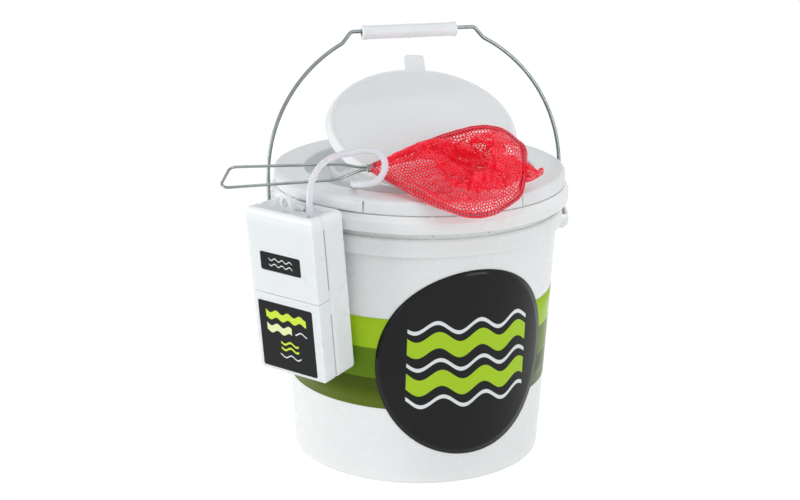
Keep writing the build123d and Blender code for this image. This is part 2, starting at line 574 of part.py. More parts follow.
with BuildPart() as battery_cover:
    cover_top = PUMP_SEAM + SEAM_GAP
    pump_slab(-half_width, half_width, PUMP_PARTING + 0.2, PUMP_DEPTH, cover_top, PUMP_HEIGHT,
              radius=FRONT_CORNER)
    fillet(front_edges(battery_cover, cover_top), SEAM_ROUND)
    fillet(front_edges(battery_cover, PUMP_HEIGHT), PUMP_ROUND)
    pump_slab(-inner_width, inner_width, PUMP_PARTING - 1, PUMP_DEPTH - PUMP_WALL, cover_top - 1,
              PUMP_HEIGHT - PUMP_WALL, radius=FRONT_CORNER - PUMP_WALL, mode=Mode.SUBTRACT)
    front_panel(LARGE_PANEL)

cells = []
for name, x in (("battery_left", -17.6), ("battery_right", 17.6)):
    with BuildPart() as cell:
        with BuildSketch(pump_level(PUMP_SEAM + 11)):
            with Locations((x, PUMP_WALL + 0.6 + CELL_RADIUS)):
                Circle(CELL_RADIUS)
        extrude(amount=CELL_LENGTH)
        chamfer(cell.edges().filter_by(GeomType.CIRCLE), 1.0)
        with BuildSketch(pump_level(PUMP_SEAM + 9.5)):
            with Locations((x, PUMP_WALL + 0.6 + CELL_RADIUS)):
                Circle(4.8)
        extrude(amount=1.5)
    cells.append((name, cell))

# leaf contacts: a bridge under the cells and one leaf over each
with BuildPart() as contact_bridge:
    pump_slab(-27, 27, 12, 27, PUMP_HEIGHT - PUMP_WALL - 0.6, PUMP_HEIGHT - PUMP_WALL)
    for x in (-17.6, 17.6):
        with BuildSketch(Plane(origin=pump_point(x, -PUMP_HEIGHT + PUMP_WALL + 0.4, 15), x_dir=pump_front,
                               z_dir=pump_right * -1)):
            with BuildLine():
                Polyline((0, 0), (5, 10.4), (10, 10.4), (10, 9.8), (5.4, 9.8), (0.8, 0), close=True)
            make_face()
        extrude(amount=4, both=True)

with BuildPart() as contact_leaves:
    for x in (-17.6, 17.6):
        pump_slab(x - 7, x + 7, 14, 26, PUMP_SEAM, PUMP_SEAM + 0.6)
        with BuildSketch(Plane(origin=pump_point(x, -PUMP_SEAM - 0.4, 15), x_dir=pump_front,
                               z_dir=pump_right * -1)):
            with BuildLine():
                Polyline((0, 0), (3.5, -9.1), (7.5, -9.1), (7.5, -8.5), (4, -8.5), (0.8, 0), close=True)
            make_face()
        extrude(amount=3, both=True)

with BuildPart() as case_screws:
    with BuildSketch(PUMP.offset(-0.6)):
        with Locations(*CASE_SCREWS):
            Circle(3.0)
    extrude(amount=1.7)
    with BuildSketch(PUMP.offset(1.0)):
        with Locations(*CASE_SCREWS):
            Circle(1.25)
    extrude(amount=12)

# motor, crank and diaphragm head
MOTOR_Y, MOTOR_Z = -56.0, 22.0
CRANK_THROW = 2.5


def motor_plane(x):
    """Plane across the motor's shaft, at x in the pump's frame: x out from the back, y up."""
    return Plane(origin=pump_point(x, MOTOR_Y, MOTOR_Z), x_dir=pump_front, z_dir=pump_right * -1)


with BuildPart() as motor:
    with BuildSketch(motor_plane(-4)):
        Circle(12.0)
    extrude(amount=26)
    with BuildSketch(motor_plane(-30)):
        Circle(5.0)
    extrude(amount=2)
    with BuildSketch(motor_plane(-2)):
        Circle(4.0)
        Circle(1.0 + RUNNING_GAP, mode=Mode.SUBTRACT)
    extrude(amount=2)
    with BuildSketch(motor_plane(-4)):
        Circle(1.0 + RUNNING_GAP)
    extrude(amount=8, mode=Mode.SUBTRACT)

with BuildPart() as motor_cradle:
    with BuildSketch(motor_plane(-7)):
        with Locations((-6.15, -10.0)):
            Rectangle(27.3, 17.0)
        Circle(12.0, mode=Mode.SUBTRACT)
    extrude(amount=20)

with BuildPart() as crank:
    with BuildSketch(motor_plane(4)):
        Circle(1.0)
    extrude(amount=14)
    with BuildSketch(motor_plane(4)):
        Circle(7.0)
    extrude(amount=4)
    with BuildSketch(motor_plane(12)):
        with Locations((0, CRANK_THROW)):
            Circle(1.5)
    extrude(amount=8.5)

with BuildPart() as yoke:
    with BuildSketch(motor_plane(9)):
        Circle(7.2)
        with Locations((0, 12)):
            Rectangle(5.0, 14.0)
        Circle(CRANK_THROW + 1.5 + 0.4, mode=Mode.SUBTRACT)
    extrude(amount=3.5)

HEAD_X = 7.25
with BuildPart() as diaphragm:
    with BuildSketch(pump_level(-MOTOR_Y - 21.0)):
        with Locations((HEAD_X, MOTOR_Z)):
            Circle(13.0)
    extrude(amount=1.6)
    with BuildSketch(pump_level(-MOTOR_Y - 19.4)):
        with Locations((HEAD_X, MOTOR_Z)):
            Circle(4.0)
    extrude(amount=0.4)

with BuildPart() as pump_head:
    with BuildSketch(pump_level(18)):
        with Locations((HEAD_X, MOTOR_Z)):
            Circle(14.5)
    extrude(amount=17)
    with BuildSketch(pump_level(19)):
        with Locations((NIPPLE_X, NIPPLE_Z)):
            Circle(4.5)
        with Locations(((NIPPLE_X + HEAD_X) / 2, (NIPPLE_Z + MOTOR_Z) / 2)):
            Rectangle(20, 8)
    extrude(amount=9)
    pump_slab(0, 14.5, PUMP_WALL, 10, 20, 32)
    with BuildSketch(pump_level(36.0)):
        with Locations((HEAD_X, MOTOR_Z)):
            Circle(12.0)
    extrude(amount=-9, mode=Mode.SUBTRACT)

with BuildPart() as nipple:
    with BuildSketch(pump_level(TOP_POCKET)):
        with Locations((NIPPLE_X, NIPPLE_Z)):
            Circle(4.2)
    extrude(amount=-6.0)
    with BuildSketch(pump_level(TOP_POCKET)):
        with Locations((NIPPLE_X, NIPPLE_Z)):
            Circle(2.4)
    extrude(amount=13.0)

with BuildPart() as switch_knob:
    knob_layers = [
        (4.5, 3.2, TOP_POCKET - 3.4, TOP_POCKET - 0.1),
        (3.0, 2.0, TOP_POCKET - 0.2, pocket_floor + 0.5),
        (5.0, 3.6, pocket_floor + 0.3, pocket_floor + 1.3)]
    for wide, deep, top, bottom in knob_layers:
        pump_slab(SWITCH_X - wide, SWITCH_X + wide, SWITCH_Z - deep, SWITCH_Z + deep, top, bottom)
    for ridge in (-3.0, 0.0, 3.0):
        pump_slab(SWITCH_X + ridge - 0.6, SWITCH_X + ridge + 0.6, SWITCH_Z - 3.2, SWITCH_Z + 3.2,
                  TOP_POCKET - 4.0, TOP_POCKET - 3.4)

# hook that hangs the pump on the pail's rim, under the lid
HOOK_THICKNESS = 1.0
HOOK_WIDTH = 24.0
HOOK = radial_plane(PUMP_AZIMUTH)
with BuildPart() as pump_hook:
    back_high = PUMP_DISTANCE + (284.0 - PUMP_TOP) * math.tan(tilt)
    back_low = PUMP_DISTANCE + (262.0 - PUMP_TOP) * math.tan(tilt)
    plate = HOOK_THICKNESS / math.cos(tilt)
    with BuildSketch(HOOK):
        with BuildLine():
            Polyline((back_low, 262.0), (back_high, 284.0), (147.4, 284.0), (147.4, 294.0), (139.3, 294.0),
                     (139.3, 272.0), (140.3, 272.0), (140.3, PAIL_TOP + 0.02), (146.4, PAIL_TOP + 0.02),
                     (146.4, 283.0), (back_high - plate, 283.0), (back_low - plate, 262.0), close=True)
        make_face()
    extrude(amount=HOOK_WIDTH / 2, both=True)
    with BuildSketch(PUMP.offset(-3)):
        with Locations(*HOOK_SCREWS):
            Circle(1.1)
    extrude(amount=4, mode=Mode.SUBTRACT)

with BuildPart() as hook_screws:
    with BuildSketch(PUMP.offset(-2.0)):
        with Locations(*HOOK_SCREWS):
            Circle(2.2)
    extrude(amount=1.0)
    with BuildSketch(PUMP.offset(-1.0)):
        with Locations(*HOOK_SCREWS):
            Circle(1.0)
    extrude(amount=5.0)

# ---------------------------------------------------------------- air tube and stone
stone_direction = direction(35.0)
stone_centre = Vector(-2, -30, liner_floor + STONE_RADIUS + 0.3)
stone_mouth = stone_centre - stone_direction * (STONE_LENGTH / 2 + 6.0)

tube_route = [
    pump_point(NIPPLE_X, 0, NIPPLE_Z), pump_point(NIPPLE_X, 14, NIPPLE_Z),
    Vector(-101, -149, 316), Vector(-93, -140, 331), Vector(-79, -131, 339.5), Vector(-61.8, -118, 340.1),
    Vector(-47.1, -117.4, 343.9), Vector(-34.6, -122.3, 337.1), Vector(-32.5, -128.8, 323.7),
    Vector(-42.1, -131.6, 312.5), Vector(-56.2, -127.1, 309.9), Vector(-62.3, -113.6, 306.7),
    Vector(-61.5, -98.2, 304), Vector(*TUBE_HOLE, 293),
    Vector(*TUBE_HOLE, 266), Vector(-64, -82, 236), Vector(-59, -79, 192),
    Vector(-63, -84, 148), Vector(-61, -80, 104), Vector(-56, -75, 66),
    Vector(-45, -64, 40), stone_mouth - stone_direction * 15, stone_mouth,
]


def tube_radii(points, share=0.45):
    """One radius for each corner: a share of the shorter run over the tangent of half the turn."""
    radii = []
    for before, corner, after in zip(points, points[1:], points[2:]):
        first, second = corner - before, after - corner
        turn = math.radians(first.get_angle(second))
        radii.append(share * min(first.length, second.length) / math.tan(turn / 2))
    return radii


corner_radii = tube_radii(tube_route)
print("tube runs", [round((b - a).length, 1) for a, b in zip(tube_route, tube_route[1:])])
print("tube turns", [round((b - a).get_angle(c - b), 1)
                     for a, b, c in zip(tube_route, tube_route[1:], tube_route[2:])])
print("tube radii", [round(radius, 1) for radius in corner_radii])

with BuildPart() as air_tube:
    with BuildLine():
        tube_line = FilletPolyline(*tube_route, radius=corner_radii)
    with BuildSketch(Plane(origin=tube_line @ 0, z_dir=tube_line % 0)):
        Circle(TUBE_RADIUS)
    sweep()
print("tube length", round(tube_line.length, 1), "volume over section times length",
      round(air_tube.part.volume / (math.pi * TUBE_RADIUS ** 2 * tube_line.length), 4))

with BuildPart() as air_stone:
    STONE = Plane(origin=stone_centre - stone_direction * STONE_LENGTH / 2, z_dir=stone_direction)
    with BuildSketch(STONE):
        Circle(STONE_RADIUS)
    extrude(amount=STONE_LENGTH)
    chamfer(air_stone.edges().filter_by(GeomType.CIRCLE), 1.5)
    with BuildSketch(STONE.offset(-6.0)):
        Circle(3.6)
    extrude(amount=6.0)

# ---------------------------------------------------------------- dip net
net_tilt = math.radians(NET_TILT)
net_normal = direction(NET_AZIMUTH) * math.sin(net_tilt) + Vector(0, 0, math.cos(net_tilt))
NET = Plane(origin=direction(NET_AZIMUTH) * NET_EDGE_RADIUS + Vector(0, 0, NET_EDGE_HEIGHT),
            x_dir=direction(NET_AZIMUTH + 90), z_dir=net_normal)
NECK = (-31.0, 46.2)
HANDLE_ANGLE, HOOP_ANGLE = 10.5, 2.5


def net_point(along, across, angle):
    """Point in the net's plane from the neck, along and across an axis at an angle."""
    turn = math.radians(angle)
    return (NECK[0] + along * math.cos(turn) - across * math.sin(turn),
            NECK[1] + along * math.sin(turn) + across * math.cos(turn))


# outline of the bent wire, as (along, across, bend radius): the handle's two sides, and half of the hoop
handle_upper = [(-137.0, 15.8, 7.0), (-29.0, 9.4, 25.0), (-13.0, 2.2, 14.0)]
handle_lower = [(-12.0, -3.4, 14.0), (-35.0, -15.8, 30.0), (-146.5, -17.5, 7.0)]
hoop_outline = [(-1.0, 1.9, 10.0), (61.0, 57.0, 90.0), (103.0, 84.0, 26.0),
                (145.0, 50.0, 24.0), (147.0, 0.0, 90.0)]
wire_corners = [(net_point(a, b, HANDLE_ANGLE), r) for a, b, r in handle_upper]
wire_corners += [(net_point(a, b, HOOP_ANGLE), r) for a, b, r in hoop_outline]
wire_corners += [(net_point(a, -b, HOOP_ANGLE), r) for a, b, r in reversed(hoop_outline[:-1])]
wire_corners += [(net_point(a, b, HANDLE_ANGLE), r) for a, b, r in handle_lower]
wire_points = [point for point, _ in wire_corners]
wire_radii = [radius for _, radius in wire_corners]

with BuildPart() as net_frame:
    with BuildLine(NET):
        net_line = FilletPolyline(*wire_points, radius=wire_radii, close=True)
    with BuildSketch(Plane(origin=net_line @ 0, z_dir=net_line % 0)):
        Circle(NET_WIRE_RADIUS)
    sweep()

with BuildPart() as net_wrap:
    with BuildSketch(Plane(origin=NET.from_local_coords(Vector(*net_point(-4.0, -0.3, HANDLE_ANGLE))),
                           x_dir=NET.z_dir, z_dir=NET.x_dir)):
        SlotCenterToCenter(4.2, 5.6, rotation=90)
    extrude(amount=7.5)
    add(net_frame.part, mode=Mode.SUBTRACT)

# the bag lies folded under the hoop, over the hatch and the lid's edge
with BuildPart() as net_bag:
    bag_outline = [net_point(a, b, HOOP_ANGLE) for a, b in
                   ((6, 0), (59, 50), (101, 76), (140, 47), (145, 20), (162, 4), (153, -22), (140, -47),
                    (101, -76), (59, -50))]
    with BuildSketch(NET.offset(-NET_WIRE_RADIUS - 0.2)) as bag_sketch:
        with BuildLine():
            Polyline(*bag_outline, close=True)
        make_face()
        fillet(bag_sketch.vertices(), 6)
    extrude(amount=-9.0)
    with BuildSketch(Plane.XY.offset(LID_TOP + 0.8)):
        Circle(UPPER_RING_RADIUS + 1.0)
    extrude(amount=-60, mode=Mode.SUBTRACT)

PIECES = {
    "bucket_shell": bucket_shell, "foam_liner": foam_liner, "lid": lid, "lid_foam": lid_foam,
    "tube_grommet": tube_grommet, "hinge_pin": hinge_pin, "hatch_cover": hatch_cover,
    "hatch_foam": hatch_foam, "hatch_gasket": hatch_gasket, "bail_wire": bail_wire, "bail_grip": bail_grip,
    "pump_back_case": pump_back_case, "pump_front_case": pump_front_case, "battery_cover": battery_cover,
    "contact_bridge": contact_bridge, "contact_leaves": contact_leaves, "case_screws": case_screws,
    "hook_screws": hook_screws, "motor": motor, "motor_cradle": motor_cradle, "crank": crank, "yoke": yoke,
    "diaphragm": diaphragm,
    "pump_head": pump_head, "nipple": nipple, "switch_knob": switch_knob, "pump_hook": pump_hook,
    "air_tube": air_tube, "air_stone": air_stone, "net_frame": net_frame, "net_wrap": net_wrap,
    "net_bag": net_bag, **dict(cells),
}

os.makedirs("parts", exist_ok=True)
for name, piece in PIECES.items():
    piece.part.label = name
    export_step(piece.part, f"parts/{name}.step")
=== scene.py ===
"""Looks of the aerated bait bucket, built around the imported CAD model.

Every object is in metres, in the CAD's frame: +Z up, -Y the front, the origin at the middle of the foot.
Lengths named in capitals are in mm, unless their line says otherwise.
"""
import math

import bpy
import numpy as np
from mathutils import Matrix, Vector


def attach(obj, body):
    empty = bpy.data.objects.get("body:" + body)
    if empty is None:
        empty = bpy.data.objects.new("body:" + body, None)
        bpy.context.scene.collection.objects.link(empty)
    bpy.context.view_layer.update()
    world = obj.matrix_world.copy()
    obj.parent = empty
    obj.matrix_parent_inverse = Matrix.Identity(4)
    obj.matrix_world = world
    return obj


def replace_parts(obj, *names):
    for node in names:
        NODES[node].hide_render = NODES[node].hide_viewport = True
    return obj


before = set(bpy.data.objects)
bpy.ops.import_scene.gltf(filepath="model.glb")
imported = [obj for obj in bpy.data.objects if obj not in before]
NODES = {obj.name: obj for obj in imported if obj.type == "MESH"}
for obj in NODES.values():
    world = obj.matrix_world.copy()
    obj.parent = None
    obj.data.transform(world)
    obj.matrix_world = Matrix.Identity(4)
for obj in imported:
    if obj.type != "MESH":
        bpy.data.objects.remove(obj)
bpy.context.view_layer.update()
MM = 0.001                      # in metres


# ---------------------------------------------------------------- frames that part.py uses too
def direction(azimuth, height=0.0):
    """Horizontal unit vector at an azimuth in degrees."""
    angle = math.radians(azimuth)
    return Vector((math.cos(angle), math.sin(angle), height))


FOOT_RADIUS, WALL_SPREAD, WALL_HEIGHT = 128.0, 13.2, 241.0       # the pail's wall, in mm


def body_radius(height):
    """Outside radius of the pail's wall, in mm."""
    return FOOT_RADIUS + WALL_SPREAD * height / WALL_HEIGHT


PUMP_AZIMUTH, PUMP_LEAN = -126.5, math.radians(7.0)     # degrees and radians
PUMP_DISTANCE, PUMP_SIDEWAYS, PUMP_TOP = 156.4, -13.2, 287.5
PUMP_WIDTH, PUMP_DEPTH = 82.0, 47.5
pump_out, pump_right = direction(PUMP_AZIMUTH), direction(PUMP_AZIMUTH + 90)
pump_up = Vector((0, 0, math.cos(PUMP_LEAN))) + pump_out * math.sin(PUMP_LEAN)
pump_front = pump_right.cross(pump_up)
pump_origin = pump_out * PUMP_DISTANCE + pump_right * PUMP_SIDEWAYS + Vector((0, 0, PUMP_TOP))


def pump_point(x, y, z):
    """World place of a point of the pump's frame: x to its right, y up from its top, z out from its back."""
    return (pump_origin + pump_right * x + pump_up * y + pump_front * z) * MM


NET_TILT, NET_AZIMUTH = math.radians(22.0), -98.0
NET_DISTANCE, NET_HEIGHT = 148.5, 300.5
net_x = direction(NET_AZIMUTH + 90)
net_normal = direction(NET_AZIMUTH) * math.sin(NET_TILT) + Vector((0, 0, math.cos(NET_TILT)))
net_y = net_normal.cross(net_x)
net_origin = direction(NET_AZIMUTH) * NET_DISTANCE + Vector((0, 0, NET_HEIGHT))
NECK = (-31.0, 46.2)
HANDLE_ANGLE, HOOP_ANGLE = 10.5, 2.5


def net_point(along, across, angle):
    """Point in the net's plane, in mm, from the neck along and across an axis at an angle."""
    turn = math.radians(angle)
    return (NECK[0] + along * math.cos(turn) - across * math.sin(turn),
            NECK[1] + along * math.sin(turn) + across * math.cos(turn))


def net_world(x, y, height=0.0):
    """World place, in metres, of a point of the net's plane raised along its normal."""
    return (net_origin + net_x * x + net_y * y + net_normal * height) * MM


# ---------------------------------------------------------------- camera
FOCAL_PX, IMAGE_WIDTH, SENSOR = 1729.0, 800.0, 36.0
CAMERA_BACK, CAMERA_HEIGHT = 1.713, 0.725       # in metres
PITCH, ROLL, YAW = math.radians(16.88), math.radians(0.50), math.radians(-0.63)
look = Vector((math.sin(YAW) * math.cos(PITCH), math.cos(YAW) * math.cos(PITCH), -math.sin(PITCH)))
level = Vector((math.cos(YAW), -math.sin(YAW), 0))
upright = level.cross(look)
camera_x = level * math.cos(ROLL) + upright * math.sin(ROLL)
camera_y = upright * math.cos(ROLL) - level * math.sin(ROLL)
camera = bpy.data.objects.new("camera", bpy.data.cameras.new("camera"))
bpy.context.scene.collection.objects.link(camera)
camera.data.sensor_fit = "HORIZONTAL"
camera.data.sensor_width = SENSOR
camera.data.lens = FOCAL_PX / IMAGE_WIDTH * SENSOR
camera.data.clip_start = 0.05
camera.matrix_world = Matrix((
    (camera_x.x, camera_y.x, -look.x, 0.0),
    (camera_x.y, camera_y.y, -look.y, -CAMERA_BACK),
    (camera_x.z, camera_y.z, -look.z, CAMERA_HEIGHT),
    (0, 0, 0, 1)))
bpy.context.scene.camera = camera


# ---------------------------------------------------------------- meshes
def mesh_object(name, verts, faces, body, smooth=True):
    """A mesh piece that rides on a body."""
    data = bpy.data.meshes.new(name)
    data.from_pydata([tuple(v) for v in verts], [], faces)
    data.validate()
    obj = bpy.data.objects.new(name, data)
    bpy.context.scene.collection.objects.link(obj)
    if smooth:
        data.polygons.foreach_set("use_smooth", [True] * len(data.polygons))
    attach(obj, body)
    return obj


def rod(name, places, radius, body, material, kind="POLY", closed=False, ring=4):
    """A round wire or tube of a radius in mm through world places, straight between them or smooth."""
    curve = bpy.data.curves.new(name, "CURVE")
    curve.dimensions = "3D"
    line = curve.splines.new(kind)
    line.points.add(len(places) - 1)
    for point, place in zip(line.points, places):
        point.co = (*place, 1.0)
    if kind == "NURBS":
        line.order_u = 3
        line.use_endpoint_u = True
        curve.resolution_u = 10
    line.use_cyclic_u = closed
    curve.bevel_depth = radius * MM
    curve.bevel_resolution = ring
    curve.use_fill_caps = kind == "POLY"
    curve.materials.append(material)
    obj = bpy.data.objects.new(name, curve)
    bpy.context.scene.collection.objects.link(obj)
    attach(obj, body)
    return obj


# ---------------------------------------------------------------- materials
class Shader:
    """A Principled material with its nodes."""

    def __init__(self, name, **sockets):
        self.material = bpy.data.materials.new(name)
        self.material.use_nodes = True
        self.tree = self.material.node_tree
        self.principled = self.tree.nodes["Principled BSDF"]
        for key, value in sockets.items():
            self.set(key.replace("_", " "), value)
        self._place = None

    def set(self, socket, value):
        """Give one of the shader's own sockets a value."""
        self.principled.inputs[socket].default_value = value

    def node(self, kind, **settings):
        """A new node, with its settings and inputs."""
        made = self.tree.nodes.new(kind)
        for key, value in settings.items():
            if key in made.inputs:
                made.inputs[key].default_value = value
            else:
                setattr(made, key, value)
        return made

    def link(self, output, target):
        """Join an output to an input."""
        self.tree.links.new(output, target)

    def place(self):
        """Object coordinates, in metres."""
        if self._place is None:
            self._place = self.node("ShaderNodeTexCoord").outputs["Object"]
        return self._place

    def noise(self, scale, detail=3.0, roughness=0.55):
        """Smooth random values, so many to a metre."""
        made = self.node("ShaderNodeTexNoise")
        made.inputs["Scale"].default_value = scale
        made.inputs["Detail"].default_value = detail
        made.inputs["Roughness"].default_value = roughness
        self.link(self.place(), made.inputs["Vector"])
        return made.outputs["Fac"]

    def cells(self, scale):
        """Distance from the middle of each of many round grains."""
        made = self.node("ShaderNodeTexVoronoi", feature="F1")
        made.inputs["Scale"].default_value = scale
        self.link(self.place(), made.inputs["Vector"])
        return made.outputs["Distance"]

    def ramp(self, value, low, high, from_min=0.3, from_max=0.7):
        """A value's run from from_min to from_max, stretched to one from low to high."""
        made = self.node("ShaderNodeMapRange")
        ends = (("From Min", from_min), ("From Max", from_max), ("To Min", low), ("To Max", high))
        for key, number in ends:
            made.inputs[key].default_value = number
        self.link(value, made.inputs["Value"])
        return made.outputs["Result"]

    def math(self, operation, first, second=0.0, third=0.0):
        """A sum or other operation on numbers or values."""
        made = self.node("ShaderNodeMath", operation=operation)
        for slot, value in enumerate((first, second, third)):
            if isinstance(value, (int, float)):
                made.inputs[slot].default_value = value
            else:
                self.link(value, made.inputs[slot])
        return made.outputs[0]

    def mix(self, factor, first, second):
        """A colour between two, each a tuple or an output."""
        made = self.node("ShaderNodeMix", data_type="RGBA")
        given = (("Factor", factor), (6, first), (7, second))
        for socket, value in ((made.inputs[key], value) for key, value in given):
            if isinstance(value, (int, float)):
                socket.default_value = value
            elif isinstance(value, tuple):
                socket.default_value = (*value, 1.0)
            else:
                self.link(value, socket)
        return made.outputs[2]

    def inside(self, value, low, high, soft):
        """1 where value lies between low and high, with soft edges."""
        above = self.ramp(value, 0.0, 1.0, low - soft / 2, low + soft / 2)
        below = self.ramp(value, 1.0, 0.0, high - soft / 2, high + soft / 2)
        return self.math("MULTIPLY", above, below)

    def along(self, axis, origin):
        """Distance from an origin along an axis, in metres."""
        away = self.node("ShaderNodeVectorMath", operation="SUBTRACT")
        away.inputs[1].default_value = origin
        self.link(self.place(), away.inputs[0])
        made = self.node("ShaderNodeVectorMath", operation="DOT_PRODUCT")
        made.inputs[1].default_value = axis
        self.link(away.outputs["Vector"], made.inputs[0])
        return made.outputs["Value"]

    def colours(self, first, second, factor):
        """Base colour from the first at 0 to the second at 1."""
        self.link(self.mix(factor, first, second), self.principled.inputs["Base Color"])
        return self

    def rough(self, value):
        """Roughness from a value."""
        self.link(value, self.principled.inputs["Roughness"])
        return self

    def bump(self, *heights, distance=0.001):
        """Bumps one after another, each as (value, strength)."""
        normal = None
        for value, strength in heights:
            made = self.node("ShaderNodeBump")
            made.inputs["Strength"].default_value = strength
            made.inputs["Distance"].default_value = distance
            self.link(value, made.inputs["Height"])
            if normal is not None:
                self.link(normal, made.inputs["Normal"])
            normal = made.outputs["Normal"]
        self.link(normal, self.principled.inputs["Normal"])
        return self


def moulded(name, pale, shade, rough, mottle=9.0, grain=900.0, grain_strength=0.05, wave_strength=0.03,
            **sockets):
    """Moulded plastic: soft mottling, uneven gloss, a fine skin and slow waves in the surface."""
    made = Shader(name, **sockets)
    slow = made.noise(mottle, 2.0)
    made.colours(pale, shade, made.ramp(slow, 0.0, 1.0))
    made.rough(made.ramp(made.noise(60.0, 4.0), rough * 0.82, rough * 1.22))
    made.bump((made.noise(14.0, 1.5), wave_strength), (made.noise(grain, 2.0), grain_strength), distance=0.0006)
    return made.material


def metal(name, pale, shade, rough, spangle=60.0):
    """Drawn or plated metal, slightly clouded and finely scratched."""
    made = Shader(name, Metallic=1.0)
    made.colours(pale, shade, made.ramp(made.noise(spangle, 3.0, 0.6), 0.0, 1.0))
    made.rough(made.ramp(made.noise(spangle * 4, 3.0), rough * 0.75, rough * 1.3))
    made.bump((made.noise(spangle * 9, 2.0), 0.02), distance=0.0002)
    return made.material


MILKY = {"Subsurface_Weight": 0.35, "Subsurface_Scale": 0.008, "Subsurface_Radius": (1.0, 0.95, 0.9)}
PAIL = moulded("pail_plastic", (0.875, 0.885, 0.875), (0.845, 0.86, 0.845), 0.24,
               wave_strength=0.05, **MILKY)
LID = moulded("lid_plastic", (0.88, 0.89, 0.89), (0.845, 0.86, 0.86), 0.36, mottle=14.0, grain=1400.0,
              grain_strength=0.08, wave_strength=0.06, **MILKY)
GRIP = moulded("grip_plastic", (0.86, 0.87, 0.885), (0.80, 0.815, 0.83), 0.42, mottle=40.0,
               grain_strength=0.08)
INNER = moulded("mechanism_plastic", (0.74, 0.75, 0.77), (0.66, 0.67, 0.69), 0.45)
RUBBER = moulded("rubber_black", (0.045, 0.045, 0.047), (0.03, 0.03, 0.03), 0.6, grain=600.0,
                 grain_strength=0.2)
GASKET = moulded("gasket", (0.84, 0.84, 0.84), (0.78, 0.78, 0.79), 0.85, grain=500.0, grain_strength=0.5)
WIRE = metal("galvanised_wire", (0.27, 0.31, 0.305), (0.20, 0.235, 0.23), 0.28)
NET_WIRE = metal("net_wire", (0.33, 0.37, 0.36), (0.22, 0.255, 0.245), 0.2)
COAT = moulded("white_coat", (0.85, 0.86, 0.86), (0.81, 0.82, 0.82), 0.3)
SPRING = metal("spring_steel", (0.70, 0.71, 0.72), (0.52, 0.53, 0.54), 0.24)
SCREW = metal("screw_steel", (0.76, 0.76, 0.77), (0.55, 0.55, 0.56), 0.18)
MOTOR = metal("motor_can", (0.66, 0.67, 0.69), (0.5, 0.51, 0.53), 0.32, spangle=90.0)

SLOT_SHADE_SPANS = ((-164.0, -97.0), (-72.0, -10.5))      # painted shade of the grooves on the pump's sides, up from its top, in mm
SLOT_SHADE_EDGES = (29.4, 31.6)                           # and out from its back


def pump_plastic():
    """The pump's plastic, with painted shade for two long grooves down the parting line on each side."""
    made = Shader("pump_plastic", **MILKY)
    origin = pump_origin * MM
    beside = made.math("ABSOLUTE", made.along(pump_right, origin))
    up, out = (made.along(axis, origin) for axis in (pump_up, pump_front))
    slot_shade = made.math("ADD", *(made.inside(up, low * MM, high * MM, 0.8 * MM) for low, high in SLOT_SHADE_SPANS))
    slot_shade = made.math("MULTIPLY", slot_shade, made.inside(out, *(edge * MM for edge in SLOT_SHADE_EDGES), 0.7 * MM))
    side = PUMP_WIDTH / 2 * MM
    slot_shade = made.math("MULTIPLY", slot_shade, made.ramp(beside, 0.0, 1.0, side - 1.8 * MM, side - 1.4 * MM))
    mottle = made.ramp(made.noise(9.0, 2.0), 0.0, 1.0)
    # The grooves are a dark colour: painted shade, with no cut in the surface.
    made.colours(made.mix(mottle, (0.87, 0.89, 0.895), (0.85, 0.875, 0.88)), (0.36, 0.35, 0.32), slot_shade)
    made.rough(made.ramp(made.noise(60.0, 4.0), 0.25, 0.37))
    made.bump((made.noise(14.0, 1.5), 0.03), (made.noise(1700.0, 2.0), 0.05), distance=0.0006)
    return made.material


def polystyrene():
    """Foam of fused beads, with a faint painted glow of its own that stands in for the daylight it lets
    through.
    """
    made = Shader("expanded_polystyrene", Roughness=0.72, **MILKY)
    # Painted glow: the foam gives off a little light of its own, which lightens it where it lies in shade.
    made.set("Emission Color", (0.96, 0.98, 1.0, 1.0))
    made.set("Emission Strength", 0.15)
    beads = made.cells(290.0)
    made.colours((0.80, 0.81, 0.805), (0.90, 0.905, 0.90), made.ramp(beads, 1.0, 0.0, 0.1, 0.6))
    made.bump((made.ramp(beads, 1.0, 0.0, 0.0, 0.7), 0.45), (made.noise(1500.0), 0.1))
    return made.material


def sintered_stone():
    """Blue grit, pressed and fired."""
    made = Shader("air_stone", Roughness=0.9)
    made.colours((0.16, 0.24, 0.42), (0.36, 0.44, 0.60), made.ramp(made.noise(700.0), 0.0, 1.0))
    made.bump((made.cells(1300.0), 0.8))
    return made.material


def cell_case():
    """Dark lacquer over a steel can."""
    made = Shader("cell_case", Metallic=0.3)
    made.colours((0.05, 0.05, 0.055), (0.09, 0.09, 0.10), made.ramp(made.noise(30.0), 0.0, 1.0))
    made.rough(made.ramp(made.noise(200.0), 0.25, 0.4))
    return made.material


def clear_vinyl():
    """Milky vinyl with a lilac cast."""
    made = Shader("tube_vinyl", Roughness=0.16, IOR=1.38, Transmission_Weight=0.25, Subsurface_Weight=0.35,
                  Subsurface_Scale=0.004)
    made.colours((0.90, 0.91, 0.95), (0.86, 0.86, 0.94), made.ramp(made.noise(25.0), 0.0, 1.0))
    made.bump((made.noise(260.0), 0.05))
    return made.material


def net_yarn():
    """Bright red yarn, with a faint painted glow that brightens it."""
    made = Shader("net_yarn", Roughness=0.42, Specular_IOR_Level=0.45, Subsurface_Weight=0.6,
                  Subsurface_Scale=0.004)
    # Painted glow: the yarn gives off a little red light of its own, which brightens it.
    made.set("Emission Color", (1.0, 0.02, 0.06, 1.0))
    made.set("Emission Strength", 0.12)
    made.colours((0.92, 0.008, 0.03), (1.0, 0.03, 0.07), made.ramp(made.noise(90.0, 2.0), 0.0, 1.0))
    made.bump((made.noise(2600.0, 2.0), 0.35), distance=0.0002)
    return made.material


